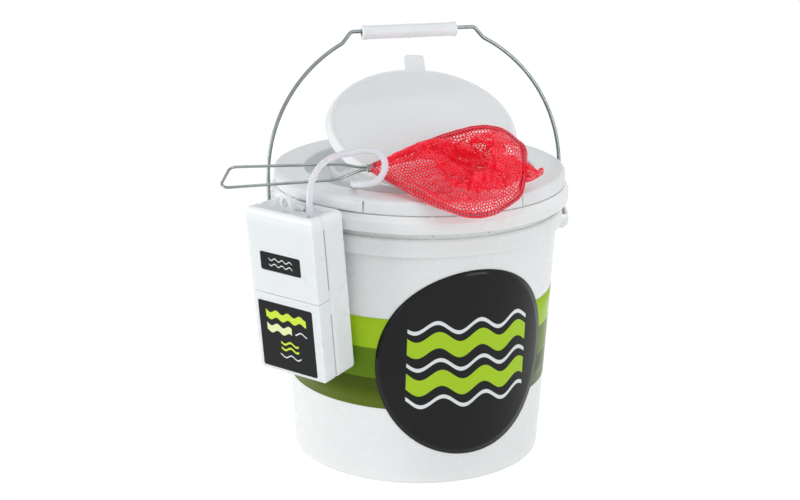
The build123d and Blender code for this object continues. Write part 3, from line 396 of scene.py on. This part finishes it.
PUMP_CASE, FOAM, STONE, CELL = pump_plastic(), polystyrene(), sintered_stone(), cell_case()
FINISH = {
    "bucket_shell": PAIL, "foam_liner": FOAM, "lid": LID, "lid_foam": FOAM, "tube_grommet": RUBBER,
    "hinge_pin": SCREW, "hatch_cover": LID, "hatch_foam": FOAM, "hatch_gasket": GASKET, "bail_wire": WIRE,
    "bail_grip": GRIP, "pump_back_case": PUMP_CASE, "pump_front_case": PUMP_CASE, "battery_cover": PUMP_CASE,
    "battery_left": CELL, "battery_right": CELL, "contact_bridge": SPRING, "contact_leaves": SPRING,
    "case_screws": SCREW, "hook_screws": SCREW, "motor": MOTOR, "motor_cradle": INNER, "crank": SCREW,
    "yoke": INNER, "diaphragm": RUBBER, "pump_head": INNER, "nipple": PUMP_CASE, "switch_knob": PUMP_CASE,
    "pump_hook": COAT, "air_stone": STONE, "net_frame": NET_WIRE, "net_wrap": NET_WIRE,
}
for node_name, finish in FINISH.items():
    data = NODES[node_name].data
    data.materials.clear()
    data.materials.append(finish)


# ---------------------------------------------------------------- air tube
TUBE_LENGTH, TUBE_RADIUS = 0.498, 3.2           # the length in metres
NIPPLE = (24, 0, 29)            # its barb, in the pump's frame
HOLE = (-62.0, -87.0)           # the tube's hole in the lid
STONE_MIDDLE, STONE_REACH = Vector((-2, -30, 31.2)), 23.0       # the air stone, and its mouth from there
TUBE_RISE, TUBE_STRAIGHT = 14, 15       # of the tube from the barb, and before the stone
stone_heading = direction(35.0)
stone_mouth = STONE_MIDDLE - stone_heading * STONE_REACH
tube_route = [pump_point(*NIPPLE), pump_point(NIPPLE[0], NIPPLE[1] + TUBE_RISE, NIPPLE[2])]
tube_route += [Vector(place) * MM for place in (
    (-101, -149, 316), (-93, -140, 330), (-79, -131, 337.5), (-61.8, -118, 337.1),
    (-46.1, -117.4, 340.4), (-33.4, -122.3, 335.1), (-31.5, -128.8, 323.2),
    (-39.6, -131.0, 311.0), (-54.2, -127.1, 308.2), (-63.0, -115.0, 304.5),
    (-63.0, -99.5, 302.5), (*HOLE, 293),
    (*HOLE, 266), (-64, -82, 236), (-59, -79, 192),
    (-63, -84, 148), (-61, -80, 104), (-56, -75, 66),
    (-45, -64, 40), stone_mouth - stone_heading * TUBE_STRAIGHT, stone_mouth)]
tube = rod("air_tube_vinyl", tube_route, TUBE_RADIUS, "pail", clear_vinyl(),
           kind="NURBS", ring=6)
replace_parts(tube, "air_tube")
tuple(tube_route[0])


# ---------------------------------------------------------------- net bag
# Corners of the net's wire in mm, along and across from its neck, each with the radius of its bend.
HOOP = [(-1.0, 1.9, 10.0), (62.0, 53.5, 90.0), (112.0, 80.0, 32.0), (145.0, 38.0, 34.0), (146.3, 0.0, 90.0)]
HOOP += [(a, -b, r) for a, b, r in reversed(HOOP[:-1])]
HANDLE_UPPER = [(-137.0, 15.8, 7.0), (-29.0, 9.4, 25.0), (-13.0, 2.2, 14.0)]
HANDLE_LOWER = [(-12.0, -3.4, 14.0), (-35.0, -15.8, 30.0), (-146.5, -17.5, 7.0)]
FRAME_RADIUS = 1.4
MESH_PITCH = 3.4                # across a cell of the netting
STRAND, STRAND_THICK = 1.3, 0.35
DEPTH, HEM = 128.0, 14.5        # of the bag below its hem, and of the hem
HEM_RADIUS, HEM_START, HEM_WRAP = 2.5, -150.0, 330.0    # the hem goes round the wire by so many degrees
RIPPLE, RIPPLE_ROUND, RIPPLE_DOWN, RIPPLE_TURN = 0.1, 120, 0.8, 60      # the hem's share, waves in radians


def rounded(corners, closed=False, arc_steps=12):
    """Line through the corners, each rounded by its radius."""
    if closed:
        corners = [corners[-1], *corners, corners[0]]
    places = [np.array(c[:2], float) for c in corners]
    line = [] if closed else [places[0]]
    for before, corner, after, (_, _, radius) in zip(places, places[1:], places[2:], corners[1:]):
        back, ahead = before - corner, after - corner
        back, ahead = back / np.linalg.norm(back), ahead / np.linalg.norm(ahead)
        turn = math.pi - math.acos(float(np.clip(back @ ahead, -1, 1)))
        centre = corner + (back + ahead) / np.linalg.norm(back + ahead) * radius / math.cos(turn / 2)
        first = corner + back * radius * math.tan(turn / 2)
        side = math.copysign(1, back[0] * ahead[1] - back[1] * ahead[0])
        for step in range(arc_steps + 1):
            angle = -side * turn * step / arc_steps
            spoke = first - centre
            line.append(centre + np.array((spoke[0] * math.cos(angle) - spoke[1] * math.sin(angle),
                                           spoke[0] * math.sin(angle) + spoke[1] * math.cos(angle))))
    return np.array(line if closed else line + [places[-1]])


hoop_line = rounded(HOOP)
hoop_reach = np.concatenate(([0.0], np.cumsum(np.linalg.norm(np.diff(hoop_line, axis=0), axis=1))))
MOUTH = float(hoop_reach[-1])


def on_hoop(turn, look_ahead=4.0):
    """Place and outward direction in the hoop's plane at a share of the way round it, from the neck.

    The direction is taken over look_ahead mm to each side.
    """
    def at(reach):
        reach = np.mod(reach, MOUTH)
        return np.stack([np.interp(reach, hoop_reach, hoop_line[:, axis]) for axis in (0, 1)], -1)

    reach = np.mod(turn, 1.0) * MOUTH
    run = at(reach + look_ahead) - at(reach - look_ahead)
    run /= np.linalg.norm(run, axis=-1, keepdims=True)
    return at(reach), np.stack([-run[..., 1], run[..., 0]], -1)


def hoop_world(a, b, h):
    """World places, in metres, of points given in mm along the hoop, across it and above its plane."""
    turn = math.radians(HOOP_ANGLE)
    x = NECK[0] + a * math.cos(turn) - b * math.sin(turn)
    y = NECK[1] + a * math.sin(turn) + b * math.cos(turn)
    basis = np.array([net_x, net_y, net_normal])
    return (np.array(net_origin) + np.stack([x, y, h], -1) @ basis) * MM


# The bag as a cloth: columns round the mouth, rows down from the hem, and a seam that closes its end.
COLUMNS, ROWS = 96, 26
SEAM_LEFT, SEAM_RIGHT, TAPER = 20.0, 164.0, 1.5
LIFTED = net_normal * 0.125 + net_x * 0.006     # where the hoop starts, in metres from where it ends
LOWERED_AT, LAST_FRAME = 34, 58                 # frames
GRAVITY = 9.81                  # in m/s2
CLOTH_GAP = 0.0012              # in metres
BOARD_LEFT, BOARD_RIGHT, BOARD_SIDE, BOARD_DROP = -80, 260, 160, 11
CLOTH = {
    "quality": 7, "mass": 0.05, "air_damping": 1.5, "vertex_group_mass": "hem",
    "tension_stiffness": 18.0, "compression_stiffness": 18.0,
    "shear_stiffness": 4.0, "bending_stiffness": 0.3,
    "tension_damping": 8.0, "compression_damping": 8.0, "shear_damping": 6.0, "bending_damping": 0.4,
}
CLOTH_COLLISIONS = {
    "collision_quality": 3, "distance_min": CLOTH_GAP,
    "use_self_collision": True, "self_distance_min": CLOTH_GAP, "self_friction": 8.0,
}


def open_bag():
    """The bag held straight below its hoop: world places in metres, by column and row."""
    turn = np.arange(COLUMNS) / COLUMNS
    hem, outward = on_hoop(turn)
    hem = hem - outward * HEM_RADIUS
    along = 1 - np.abs(2 * turn - 1)
    seam = np.stack([SEAM_LEFT + (SEAM_RIGHT - SEAM_LEFT) * along, np.zeros(COLUMNS)], -1)
    share = (np.arange(ROWS) / (ROWS - 1))[None, :, None]
    flat = hem[:, None] * (1 - share ** TAPER) + seam[:, None] * share ** TAPER
    places = hoop_world(flat[..., 0], flat[..., 1], np.zeros(flat.shape[:2]))
    return places - np.array(net_normal) * (share * DEPTH * MM)


def cloth_object():
    """The open bag as an object, and the number of its point at each column and row."""
    index = np.arange(COLUMNS * ROWS).reshape(ROWS, COLUMNS).T.copy()
    half = COLUMNS // 2
    index[half + 1:, -1] = index[half - 1:0:-1, -1]     # both sides of the seam share its points
    after = np.roll(index, -1, axis=0)
    quads = np.stack([index[:, :-1], index[:, 1:], after[:, 1:], after[:, :-1]], -1).reshape(-1, 4)
    points = np.empty((index.max() + 1, 3))
    points[index] = open_bag()
    data = bpy.data.meshes.new("cloth")
    data.from_pydata(points.tolist(), [], quads.tolist())
    cloth = bpy.data.objects.new("cloth", data)
    bpy.context.scene.collection.objects.link(cloth)
    hem = cloth.vertex_groups.new(name="hem")
    hem.add([int(i) for i in index[:, 0]], 1.0, "REPLACE")
    return cloth, index


def stop(name, data):
    """An object that stops cloth."""
    obj = bpy.data.objects.new("stop_" + name, data)
    bpy.context.scene.collection.objects.link(obj)
    obj.modifiers.new("stop", "COLLISION")
    obj.collision.thickness_outer = CLOTH_GAP
    obj.collision.thickness_inner = 0.004
    obj.collision.cloth_friction = 30.0
    obj.collision.damping = 0.6
    return obj


def board():
    """A flat sheet below the hoop, parallel to it."""
    corners = [(BOARD_LEFT, -BOARD_SIDE, -BOARD_DROP), (BOARD_RIGHT, -BOARD_SIDE, -BOARD_DROP),
               (BOARD_RIGHT, BOARD_SIDE, -BOARD_DROP), (BOARD_LEFT, BOARD_SIDE, -BOARD_DROP)]
    data = bpy.data.meshes.new("board")
    data.from_pydata(hoop_world(*np.array(corners, float).T).tolist(), [], [(0, 1, 2, 3)])
    return data


def lowered_bag():
    """The bag's places after its hoop is lowered, by column and row.

    The bag is a cloth that is pressed flat against a board below the hoop, the lid, the hatch and the pail.
    """
    cloth, index = cloth_object()
    stops = [stop(name, NODES[name].data.copy()) for name in ("lid", "hatch_cover", "bucket_shell")]
    stops.append(stop("board", board()))
    bpy.context.scene.gravity = net_normal * -GRAVITY
    for place, number in ((LIFTED, 1), ((0, 0, 0), LOWERED_AT)):
        cloth.location = place
        cloth.keyframe_insert("location", frame=number)
    solver = cloth.modifiers.new("cloth", "CLOTH")
    for settings, values in ((solver.settings, CLOTH), (solver.collision_settings, CLOTH_COLLISIONS)):
        for key, value in values.items():
            setattr(settings, key, value)
    solver.point_cache.frame_start = 1
    solver.point_cache.frame_end = LAST_FRAME
    for number in range(1, LAST_FRAME + 1):
        bpy.context.scene.frame_set(number)
    settled = cloth.evaluated_get(bpy.context.evaluated_depsgraph_get())
    mesh = settled.to_mesh()
    result = np.empty(len(mesh.vertices) * 3)
    mesh.vertices.foreach_get("co", result)
    settled.to_mesh_clear()
    for obj in [cloth, *stops]:
        bpy.data.objects.remove(obj)
    bpy.context.scene.frame_set(1)
    return result.reshape(-1, 3)[index]


bag_grid = lowered_bag()


def neighbours(at, count, wraps):
    """The four places round each point of a line of so many, and their Catmull-Rom weights."""
    base = np.floor(at).astype(int)
    part = at - base
    picks = [(base + k) % count if wraps else np.clip(base + k, 0, count - 1) for k in (-1, 0, 1, 2)]
    weights = (-0.5 * part + part ** 2 - 0.5 * part ** 3, 1 - 2.5 * part ** 2 + 1.5 * part ** 3,
               0.5 * part + 2 * part ** 2 - 1.5 * part ** 3, -0.5 * part ** 2 + 0.5 * part ** 3)
    return picks, weights


def bag_surface(turn, share):
    """World place on the cloth at a share of the way round and down."""
    columns, column_weights = neighbours(turn * COLUMNS, COLUMNS, True)
    rows, row_weights = neighbours(share * (ROWS - 1), ROWS, False)
    return sum((cw * rw)[..., None] * bag_grid[c, r]
               for c, cw in zip(columns, column_weights) for r, rw in zip(rows, row_weights))


def bag_point(across, down):
    """World place, in metres, of the net at a distance across its mouth and down from its raw edge, in mm."""
    turn = np.mod(across / MOUTH, 1.0)
    hem, outward = on_hoop(turn)
    angle = np.radians(HEM_START + HEM_WRAP * np.clip(down / HEM, 0, 1))
    ripple = np.sin(turn * RIPPLE_ROUND) * np.sin(down * RIPPLE_DOWN + turn * RIPPLE_TURN)
    around = HEM_RADIUS * (1 + RIPPLE * ripple)
    hem = hem + outward * (around * np.cos(angle))[..., None]
    wrapped = hoop_world(hem[..., 0], hem[..., 1], around * np.sin(angle))
    loose = bag_surface(turn, np.clip((down - HEM) / DEPTH, 0, 1))
    return np.where((down < HEM)[..., None], wrapped, loose)


def net_mesh(name, place, step=0.6):
    """A closed hexagonal net, once round the mouth, of flat strands.

    place(across, down) gives world points. Each node of the net is a small triangle, and each strand a thin
    slab between two of them. Points a step to each side, in mm, give the surface its direction.
    """
    columns = int(MOUTH / MESH_PITCH)
    pitch = MOUTH / columns
    side = pitch / math.sqrt(3)
    rows = int((HEM + DEPTH) / (1.5 * side))
    k, j = np.meshgrid(np.arange(2 * columns), np.arange(rows), indexing="ij")
    up = (k + j) % 2 == 0
    node_x, node_y = k * pitch / 2, j * 1.5 * side + np.where(up, side / 2, 0.0) + side / 4
    angles = np.radians(np.where(up[..., None], (150, 30, 270), (210, 330, 90)))
    x = node_x[..., None] + STRAND / math.sqrt(3) * np.cos(angles)
    y = node_y[..., None] + STRAND / math.sqrt(3) * np.sin(angles)
    normal = np.cross(place(x + step, y) - place(x - step, y), place(x, y + step) - place(x, y - step))
    normal /= np.linalg.norm(normal, axis=-1, keepdims=True) + 1e-12
    centre, half = place(x, y), normal * (STRAND_THICK * MM / 2)
    verts = np.concatenate([(centre + half).reshape(-1, 3), (centre - half).reshape(-1, 3)])
    count = centre.size // 3
    corner = np.arange(count).reshape(x.shape)
    after, low = np.roll(corner, -1, axis=0), ~up
    below, above = corner[:, :-1][up[:, :-1]], corner[:, 1:][up[:, :-1]]
    strands = np.concatenate([
        np.stack([corner[up][:, 2], after[up][:, 0], after[up][:, 2], corner[up][:, 1]], -1),
        np.stack([corner[low][:, 1], after[low][:, 2], after[low][:, 0], corner[low][:, 2]], -1),
        np.stack([below[:, 0], below[:, 1], above[:, 1], above[:, 0]], -1)])
    knots = np.concatenate([corner[up][:, [0, 2, 1]], corner[low][:, [0, 1, 2]]])
    edges = np.concatenate([strands[:, :2], strands[:, 2:], corner[:, -1][up[:, -1]][:, [0, 1]],
                            corner[:, 0][low[:, 0]][:, [1, 0]]])
    walls = np.stack([edges[:, 0], edges[:, 0] + count, edges[:, 1] + count, edges[:, 1]], -1)
    groups = (strands, strands[:, ::-1] + count, knots, knots[:, ::-1] + count, walls)
    faces = [face.tolist() for group in groups for face in group]
    return mesh_object(name, verts.tolist(), faces, "net")


net_corners = [(*net_point(a, b, HANDLE_ANGLE), r) for a, b, r in HANDLE_UPPER]
net_corners += [(*net_point(a, b, HOOP_ANGLE), r) for a, b, r in HOOP]
net_corners += [(*net_point(a, b, HANDLE_ANGLE), r) for a, b, r in HANDLE_LOWER]
net_line = [net_world(x, y) for x, y in rounded(net_corners, closed=True)]
net_wire = rod("net_frame_wire", net_line, FRAME_RADIUS, "net", NET_WIRE, closed=True)
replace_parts(net_wire, "net_frame")

# The binding at the neck, in mm: turns of thin wire, a little uneven, and its end bent up.
BIND_RADIUS, BIND_TURNS, BIND_STEPS, BIND_PITCH = 0.55, 5, 20, 1.35
BIND_START, BIND_MIDDLE, BIND_WIDE, BIND_HIGH, BIND_PLAY = -4.6, -0.3, 4.6, 2.5, 0.25
BIND_END = ((2.6, 3.2, 3.2), (3.4, 1.6, 4.6), (2.8, 0.4, 5.6))


def binding_line():
    """World places along the wire that binds the net's two wires together."""
    places = []
    for step in range(BIND_TURNS * BIND_STEPS + 1):
        turns = step / BIND_STEPS
        angle = 2 * math.pi * turns
        along = BIND_START + BIND_PITCH * turns + BIND_PLAY * math.sin(angle * 0.37)
        wide = BIND_WIDE + BIND_PLAY * math.sin(angle * 0.61)
        x, y = net_point(along, BIND_MIDDLE + wide * math.cos(angle), HANDLE_ANGLE)
        places.append(net_world(x, y, BIND_HIGH * math.sin(angle)))
    for along, across, height in BIND_END:
        places.append(net_world(*net_point(along, across, HANDLE_ANGLE), height))
    return places


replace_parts(rod("net_binding", binding_line(), BIND_RADIUS, "net", NET_WIRE), "net_wrap")

net_bag = net_mesh("net_bag_mesh", bag_point)
net_bag.data.materials.append(net_yarn())
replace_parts(net_bag, "net_bag")


# ---------------------------------------------------------------- printed labels
LIME, OLIVE, DEEP = (0.40, 0.62, 0.022), (0.125, 0.225, 0.012), (0.055, 0.082, 0.008)
MOSS, SHADE = (0.135, 0.19, 0.012), (0.10, 0.17, 0.015)
BRIGHT, PALE = (0.62, 0.80, 0.06), (0.80, 0.86, 0.45)
BLACK, PAPER = (0.012, 0.012, 0.013), (0.78, 0.80, 0.80)


def label_shader(name, rough=0.16, gloss=0.16):
    """Printed film, and its UV coordinates in metres: (shader, across, up)."""
    made = Shader(name, Specular_IOR_Level=gloss)
    uv = made.node("ShaderNodeUVMap", uv_map="UVMap")
    parts = made.node("ShaderNodeSeparateXYZ")
    made.link(uv.outputs["UV"], parts.inputs["Vector"])
    made.rough(made.ramp(made.noise(90.0, 4.0), rough * 0.8, rough * 1.25))
    made.bump((made.noise(45.0, 2.0), 0.05), (made.noise(1500.0), 0.03), distance=0.0005)
    return made, parts.outputs["X"], parts.outputs["Y"]


def wave_print(name, rough, waves, swing, length, soft, end_soft):
    """Black film with waves, each as (height, thickness, colour, left end, right end, phase), in mm."""
    made, across, up = label_shader(name, rough)
    colour = BLACK
    for height, thick, tone, left, right, phase in waves:
        turned = made.math("MULTIPLY_ADD", across, 2 * math.pi / (length * MM), phase)
        line = made.math("MULTIPLY", made.math("SINE", turned), swing * MM)
        offset = made.math("SUBTRACT", up, made.math("ADD", line, height * MM))
        edges = ((thick - soft) / 2 * MM, (thick + soft) / 2 * MM)
        on_line = made.ramp(made.math("ABSOLUTE", offset), 1.0, 0.0, *edges)
        mask = made.math("MULTIPLY", on_line, made.inside(across, left * MM, right * MM, end_soft * MM))
        colour = made.mix(mask, colour, tone)
    made.link(colour, made.principled.inputs["Base Color"])
    return made.material


def add_uvs(obj, uvs):
    """UV coordinates, one pair for each point of a mesh."""
    layer = obj.data.uv_layers.new(name="UVMap")
    for loop in obj.data.loops:
        layer.data[loop.index].uv = uvs[loop.vertex_index]


FILM_LIFT, FILM_SINK = 0.28 * MM, 0.05 * MM             # in metres


def film(name, columns, rows, place):
    """A thin film over the pail: place(i, j) gives (world point, outward direction, u, v) of a grid point."""
    verts, uvs, faces = [], [], []
    for i in range(columns + 1):
        for j in range(rows + 1):
            point, outward, u, v = place(i, j)
            verts += [point + outward * FILM_LIFT, point + outward * FILM_SINK]
            uvs += [(u, v), (u, v)]

    def at(i, j):
        return 2 * (i * (rows + 1) + j)

    for i in range(columns):
        for j in range(rows):
            a, b, c, d = at(i, j), at(i + 1, j), at(i + 1, j + 1), at(i, j + 1)
            faces.append((a, b, c, d))
            sides = ((i == 0, d, a), (i == columns - 1, b, c), (j == 0, a, b), (j == rows - 1, c, d))
            faces += [(q, p, p + 1, q + 1) for at_edge, p, q in sides if at_edge]
    obj = mesh_object(name, verts, faces, "pail")
    add_uvs(obj, uvs)
    return obj


def on_wall(azimuth, height):
    """Point on the pail's wall and its outward direction, height in mm."""
    outward = (direction(azimuth) + Vector((0, 0, -WALL_SPREAD / WALL_HEIGHT))).normalized()
    return direction(azimuth) * (body_radius(height) * MM) + Vector((0, 0, height * MM)), outward


BAND_LOW, STRIPE, STRIPE_SOFT = 80.5, 31.8, 0.4
BAND_HIGH = BAND_LOW + 3 * STRIPE
BAND_COLUMNS, BAND_ROWS = 180, 6
BAND_SEAM = 90.0                # azimuth where its ends meet, at the back
BAND_RADIUS = 135.0             # of the wall, on average, for its UV coordinates
LOWEST_FADE = 20                # height over which its lowest stripe turns from MOSS to DEEP


def band_place(i, j):
    """Place, outward direction and UV coordinates of a grid point of the band."""
    azimuth = BAND_SEAM + 360.0 * i / BAND_COLUMNS
    height = BAND_LOW + (BAND_HIGH - BAND_LOW) * j / BAND_ROWS
    return (*on_wall(azimuth, height), math.radians(azimuth) * BAND_RADIUS * MM, height * MM)


def band_print():
    """Three plain stripes, the upper the lighter, with faint shade over them."""
    made, _, up = label_shader("label_band_print", 0.2, gloss=0.06)

    def above(height):
        return made.ramp(up, 0.0, 1.0, (height - STRIPE_SOFT) * MM, (height + STRIPE_SOFT) * MM)

    fade = made.ramp(up, 0.0, 1.0, BAND_LOW * MM, (BAND_LOW + LOWEST_FADE) * MM)
    lower = made.mix(above(BAND_LOW + STRIPE), made.mix(fade, MOSS, DEEP), OLIVE)
    stripes = made.mix(above(BAND_LOW + 2 * STRIPE), lower, LIME)
    shade = made.ramp(made.noise(3.5, 1.0), 0.0, 0.12)
    made.link(made.mix(shade, stripes, SHADE), made.principled.inputs["Base Color"])
    return made.material


band = film("label_band", BAND_COLUMNS, BAND_ROWS, band_place)
band.data.materials.append(band_print())

DISC_AZIMUTH, DISC_HEIGHT, DISC_RADIUS = -66.3, 128.0, 97.2
DISC_SPOKES, DISC_RINGS = 96, 14
DISC_LIFT, DISC_SINK = 0.62 * MM, 0.05 * MM             # in metres


def disc_label():
    """A round film on the pail's front."""
    verts, uvs, faces = [], [], []

    def add(radius, angle, height):
        u, v = radius * math.cos(angle), radius * math.sin(angle)
        z = DISC_HEIGHT + v
        azimuth = DISC_AZIMUTH + math.degrees(u / body_radius(z))
        point, outward = on_wall(azimuth, z)
        verts.append(point + outward * height)
        uvs.append((u * MM, v * MM))

    def at(ring, spoke):
        return 1 + (ring - 1) * DISC_SPOKES + spoke % DISC_SPOKES

    add(0.0, 0.0, DISC_LIFT)
    for ring in range(1, DISC_RINGS + 1):
        for spoke in range(DISC_SPOKES):
            add(DISC_RADIUS * ring / DISC_RINGS, 2 * math.pi * spoke / DISC_SPOKES, DISC_LIFT)
    for spoke in range(DISC_SPOKES):
        add(DISC_RADIUS, 2 * math.pi * spoke / DISC_SPOKES, DISC_SINK)
    for spoke in range(DISC_SPOKES):
        faces.append((0, at(1, spoke), at(1, spoke + 1)))
        for ring in range(1, DISC_RINGS + 1):
            faces.append((at(ring, spoke), at(ring + 1, spoke), at(ring + 1, spoke + 1), at(ring, spoke + 1)))
    obj = mesh_object("label_disc", verts, faces, "pail")
    add_uvs(obj, uvs)
    return obj


DISC_WAVES = [
    (40, 4, PAPER, -66, 66, 0.6),
    (22, 17, LIME, -66, 66, 0.3),
    (1, 4, PAPER, -66, 66, 0.0),
    (-18, 17, LIME, -66, 66, -0.3),
    (-38, 4, PAPER, -66, 66, -0.6),
]
disc_print = wave_print("label_disc_print", 0.14, DISC_WAVES, swing=5.5, length=44, soft=0.5, end_soft=0.6)
disc_label().data.materials.append(disc_print)

PANEL_CORNER, PANEL_LIFT, PANEL_SINK = 2.2, 0.22, 0.02


def panel(name, body, centre, size, shader):
    """A flat film on the pump's front, with rounded corners."""
    cx, cy = centre
    inner_x, inner_y = size[0] / 2 - PANEL_CORNER, size[1] / 2 - PANEL_CORNER
    outline = []
    for side_x, side_y, start in ((1, 1, 0), (-1, 1, 90), (-1, -1, 180), (1, -1, 270)):
        for step in range(7):
            angle = math.radians(start + 15 * step)
            outline.append((side_x * inner_x + PANEL_CORNER * math.cos(angle),
                            side_y * inner_y + PANEL_CORNER * math.sin(angle)))
    count = len(outline)
    verts = [pump_point(cx + x, cy + y, PUMP_DEPTH + PANEL_LIFT) for x, y in outline]
    verts += [pump_point(cx + x, cy + y, PUMP_DEPTH + PANEL_SINK) for x, y in outline]
    faces = [tuple(range(count)), tuple(range(2 * count - 1, count - 1, -1))]
    faces += [(i, count + i, count + (i + 1) % count, (i + 1) % count) for i in range(count)]
    obj = mesh_object(name, verts, faces, body, smooth=False)
    add_uvs(obj, [(x * MM, y * MM) for x, y in outline * 2])
    obj.data.materials.append(shader)


SMALL_WAVES = [(2.8, 1.1, PAPER, -14.5, 14.5, 0.0), (-2.8, 1.1, PAPER, -14.5, 14.5, 0.5)]
LARGE_WAVES = [
    (21.5, 7.5, BRIGHT, -25, 25, 0.4),
    (7.5, 7.5, PALE, -25, 6, 0.4),
    (7.5, 1.4, PAPER, 10.5, 25, 0.4),
    (-6, 2.2, BRIGHT, -9, 13, 0.4),
    (-12, 2.2, BRIGHT, -9, 13, 0.4),
    (-20, 1.4, PAPER, -11, 15, 0.4),
]
small_print = wave_print("pump_label_small_print", 0.16, SMALL_WAVES, 1.2, 9.2, soft=0.3, end_soft=0.3)
large_print = wave_print("pump_label_large_print", 0.16, LARGE_WAVES, 1.6, 14.8, soft=0.3, end_soft=0.3)
panel("label_pump_small", "pail", (-2.6, -46.9), (49.8, 18.8), small_print)
panel("label_pump_large", "battery_cover", (-2.6, -124.9), (67.8, 70.0), large_print)


# ---------------------------------------------------------------- floor, backdrop and light
def seen_directly(tree):
    """1 for rays from the camera, off gloss and through clear pieces."""
    rays = tree.nodes.new("ShaderNodeLightPath")
    total = None
    for name in ("Is Camera Ray", "Is Glossy Ray", "Is Transmission Ray"):
        if total is None:
            total = rays.outputs[name]
            continue
        either = tree.nodes.new("ShaderNodeMath")
        either.operation = "MAXIMUM"
        tree.links.new(total, either.inputs[0])
        tree.links.new(rays.outputs[name], either.inputs[1])
        total = either.outputs[0]
    return total


FAINT_EXTRA = 0.08              # reflectance beyond what its own light leaves to white


def stage_material(name, tone, own_light):
    """Matt paper that looks white to the camera and keeps a soft shadow."""
    material = bpy.data.materials.new(name)
    material.use_nodes = True
    tree = material.node_tree
    tree.nodes.clear()
    out = tree.nodes.new("ShaderNodeOutputMaterial")
    matt, faint = tree.nodes.new("ShaderNodeBsdfDiffuse"), tree.nodes.new("ShaderNodeBsdfDiffuse")
    matt.inputs["Color"].default_value = (tone, tone, tone, 1)
    faint.inputs["Color"].default_value = (1 - own_light + FAINT_EXTRA,) * 3 + (1,)
    lit = tree.nodes.new("ShaderNodeEmission")
    lit.inputs["Strength"].default_value = own_light
    both, chosen = tree.nodes.new("ShaderNodeAddShader"), tree.nodes.new("ShaderNodeMixShader")
    tree.links.new(faint.outputs[0], both.inputs[0])
    tree.links.new(lit.outputs[0], both.inputs[1])
    tree.links.new(seen_directly(tree), chosen.inputs[0])
    tree.links.new(matt.outputs[0], chosen.inputs[1])
    tree.links.new(both.outputs[0], chosen.inputs[2])
    tree.links.new(chosen.outputs[0], out.inputs["Surface"])
    return material


FLOOR = [(-9, -6, 0), (9, -6, 0), (9, 12, 0), (-9, 12, 0)]      # in metres
floor = bpy.data.objects.new("floor", bpy.data.meshes.new("floor"))
floor.data.from_pydata(FLOOR, [], [(0, 1, 2, 3)])
bpy.context.scene.collection.objects.link(floor)
floor.data.materials.append(stage_material("floor_paint", tone=0.94, own_light=0.93))

GLOW_COLOUR, GLOW_STRENGTH = (0.93, 0.97, 1.0, 1), 0.54     # light from all round
BACKDROP_COLOUR, BACKDROP_STRENGTH = (1, 1, 1, 1), 1.0      # what the camera and gloss see


def studio_world():
    """A white backdrop that lights the object less than it shows."""
    world = bpy.data.worlds.new("studio")
    bpy.context.scene.world = world
    world.use_nodes = True
    tree = world.node_tree
    tree.nodes.clear()
    out, shown = tree.nodes.new("ShaderNodeOutputWorld"), tree.nodes.new("ShaderNodeMixShader")
    tree.links.new(seen_directly(tree), shown.inputs[0])
    sides = ((1, GLOW_COLOUR, GLOW_STRENGTH), (2, BACKDROP_COLOUR, BACKDROP_STRENGTH))
    for socket, colour, strength in sides:
        background = tree.nodes.new("ShaderNodeBackground")
        background.inputs["Color"].default_value = colour
        background.inputs["Strength"].default_value = strength
        tree.links.new(background.outputs[0], shown.inputs[socket])
    tree.links.new(shown.outputs[0], out.inputs["Surface"])


def softbox(name, place, target, size, power):
    """A rectangular lamp that faces a point: metres and watts."""
    lamp = bpy.data.lights.new(name, "AREA")
    lamp.shape = "RECTANGLE"
    lamp.size, lamp.size_y = size
    lamp.energy = power
    obj = bpy.data.objects.new(name, lamp)
    bpy.context.scene.collection.objects.link(obj)
    obj.location = place
    obj.rotation_euler = (Vector(target) - Vector(place)).to_track_quat("-Z", "Y").to_euler()


studio_world()
softbox("key", (-2.4, -0.75, 0.35), (0, 0, 0.15), (1.1, 1.1), 33.0)
softbox("side", (1.9, -1.7, 0.9), (0, 0, 0.2), (1.2, 1.2), 18.0)
softbox("overhead", (0.2, -0.7, 2.3), (0, 0, 0.2), (1.6, 1.4), 8.0)

bpy.context.scene.view_settings.view_transform = "Standard"

bpy.context.view_layer.update()
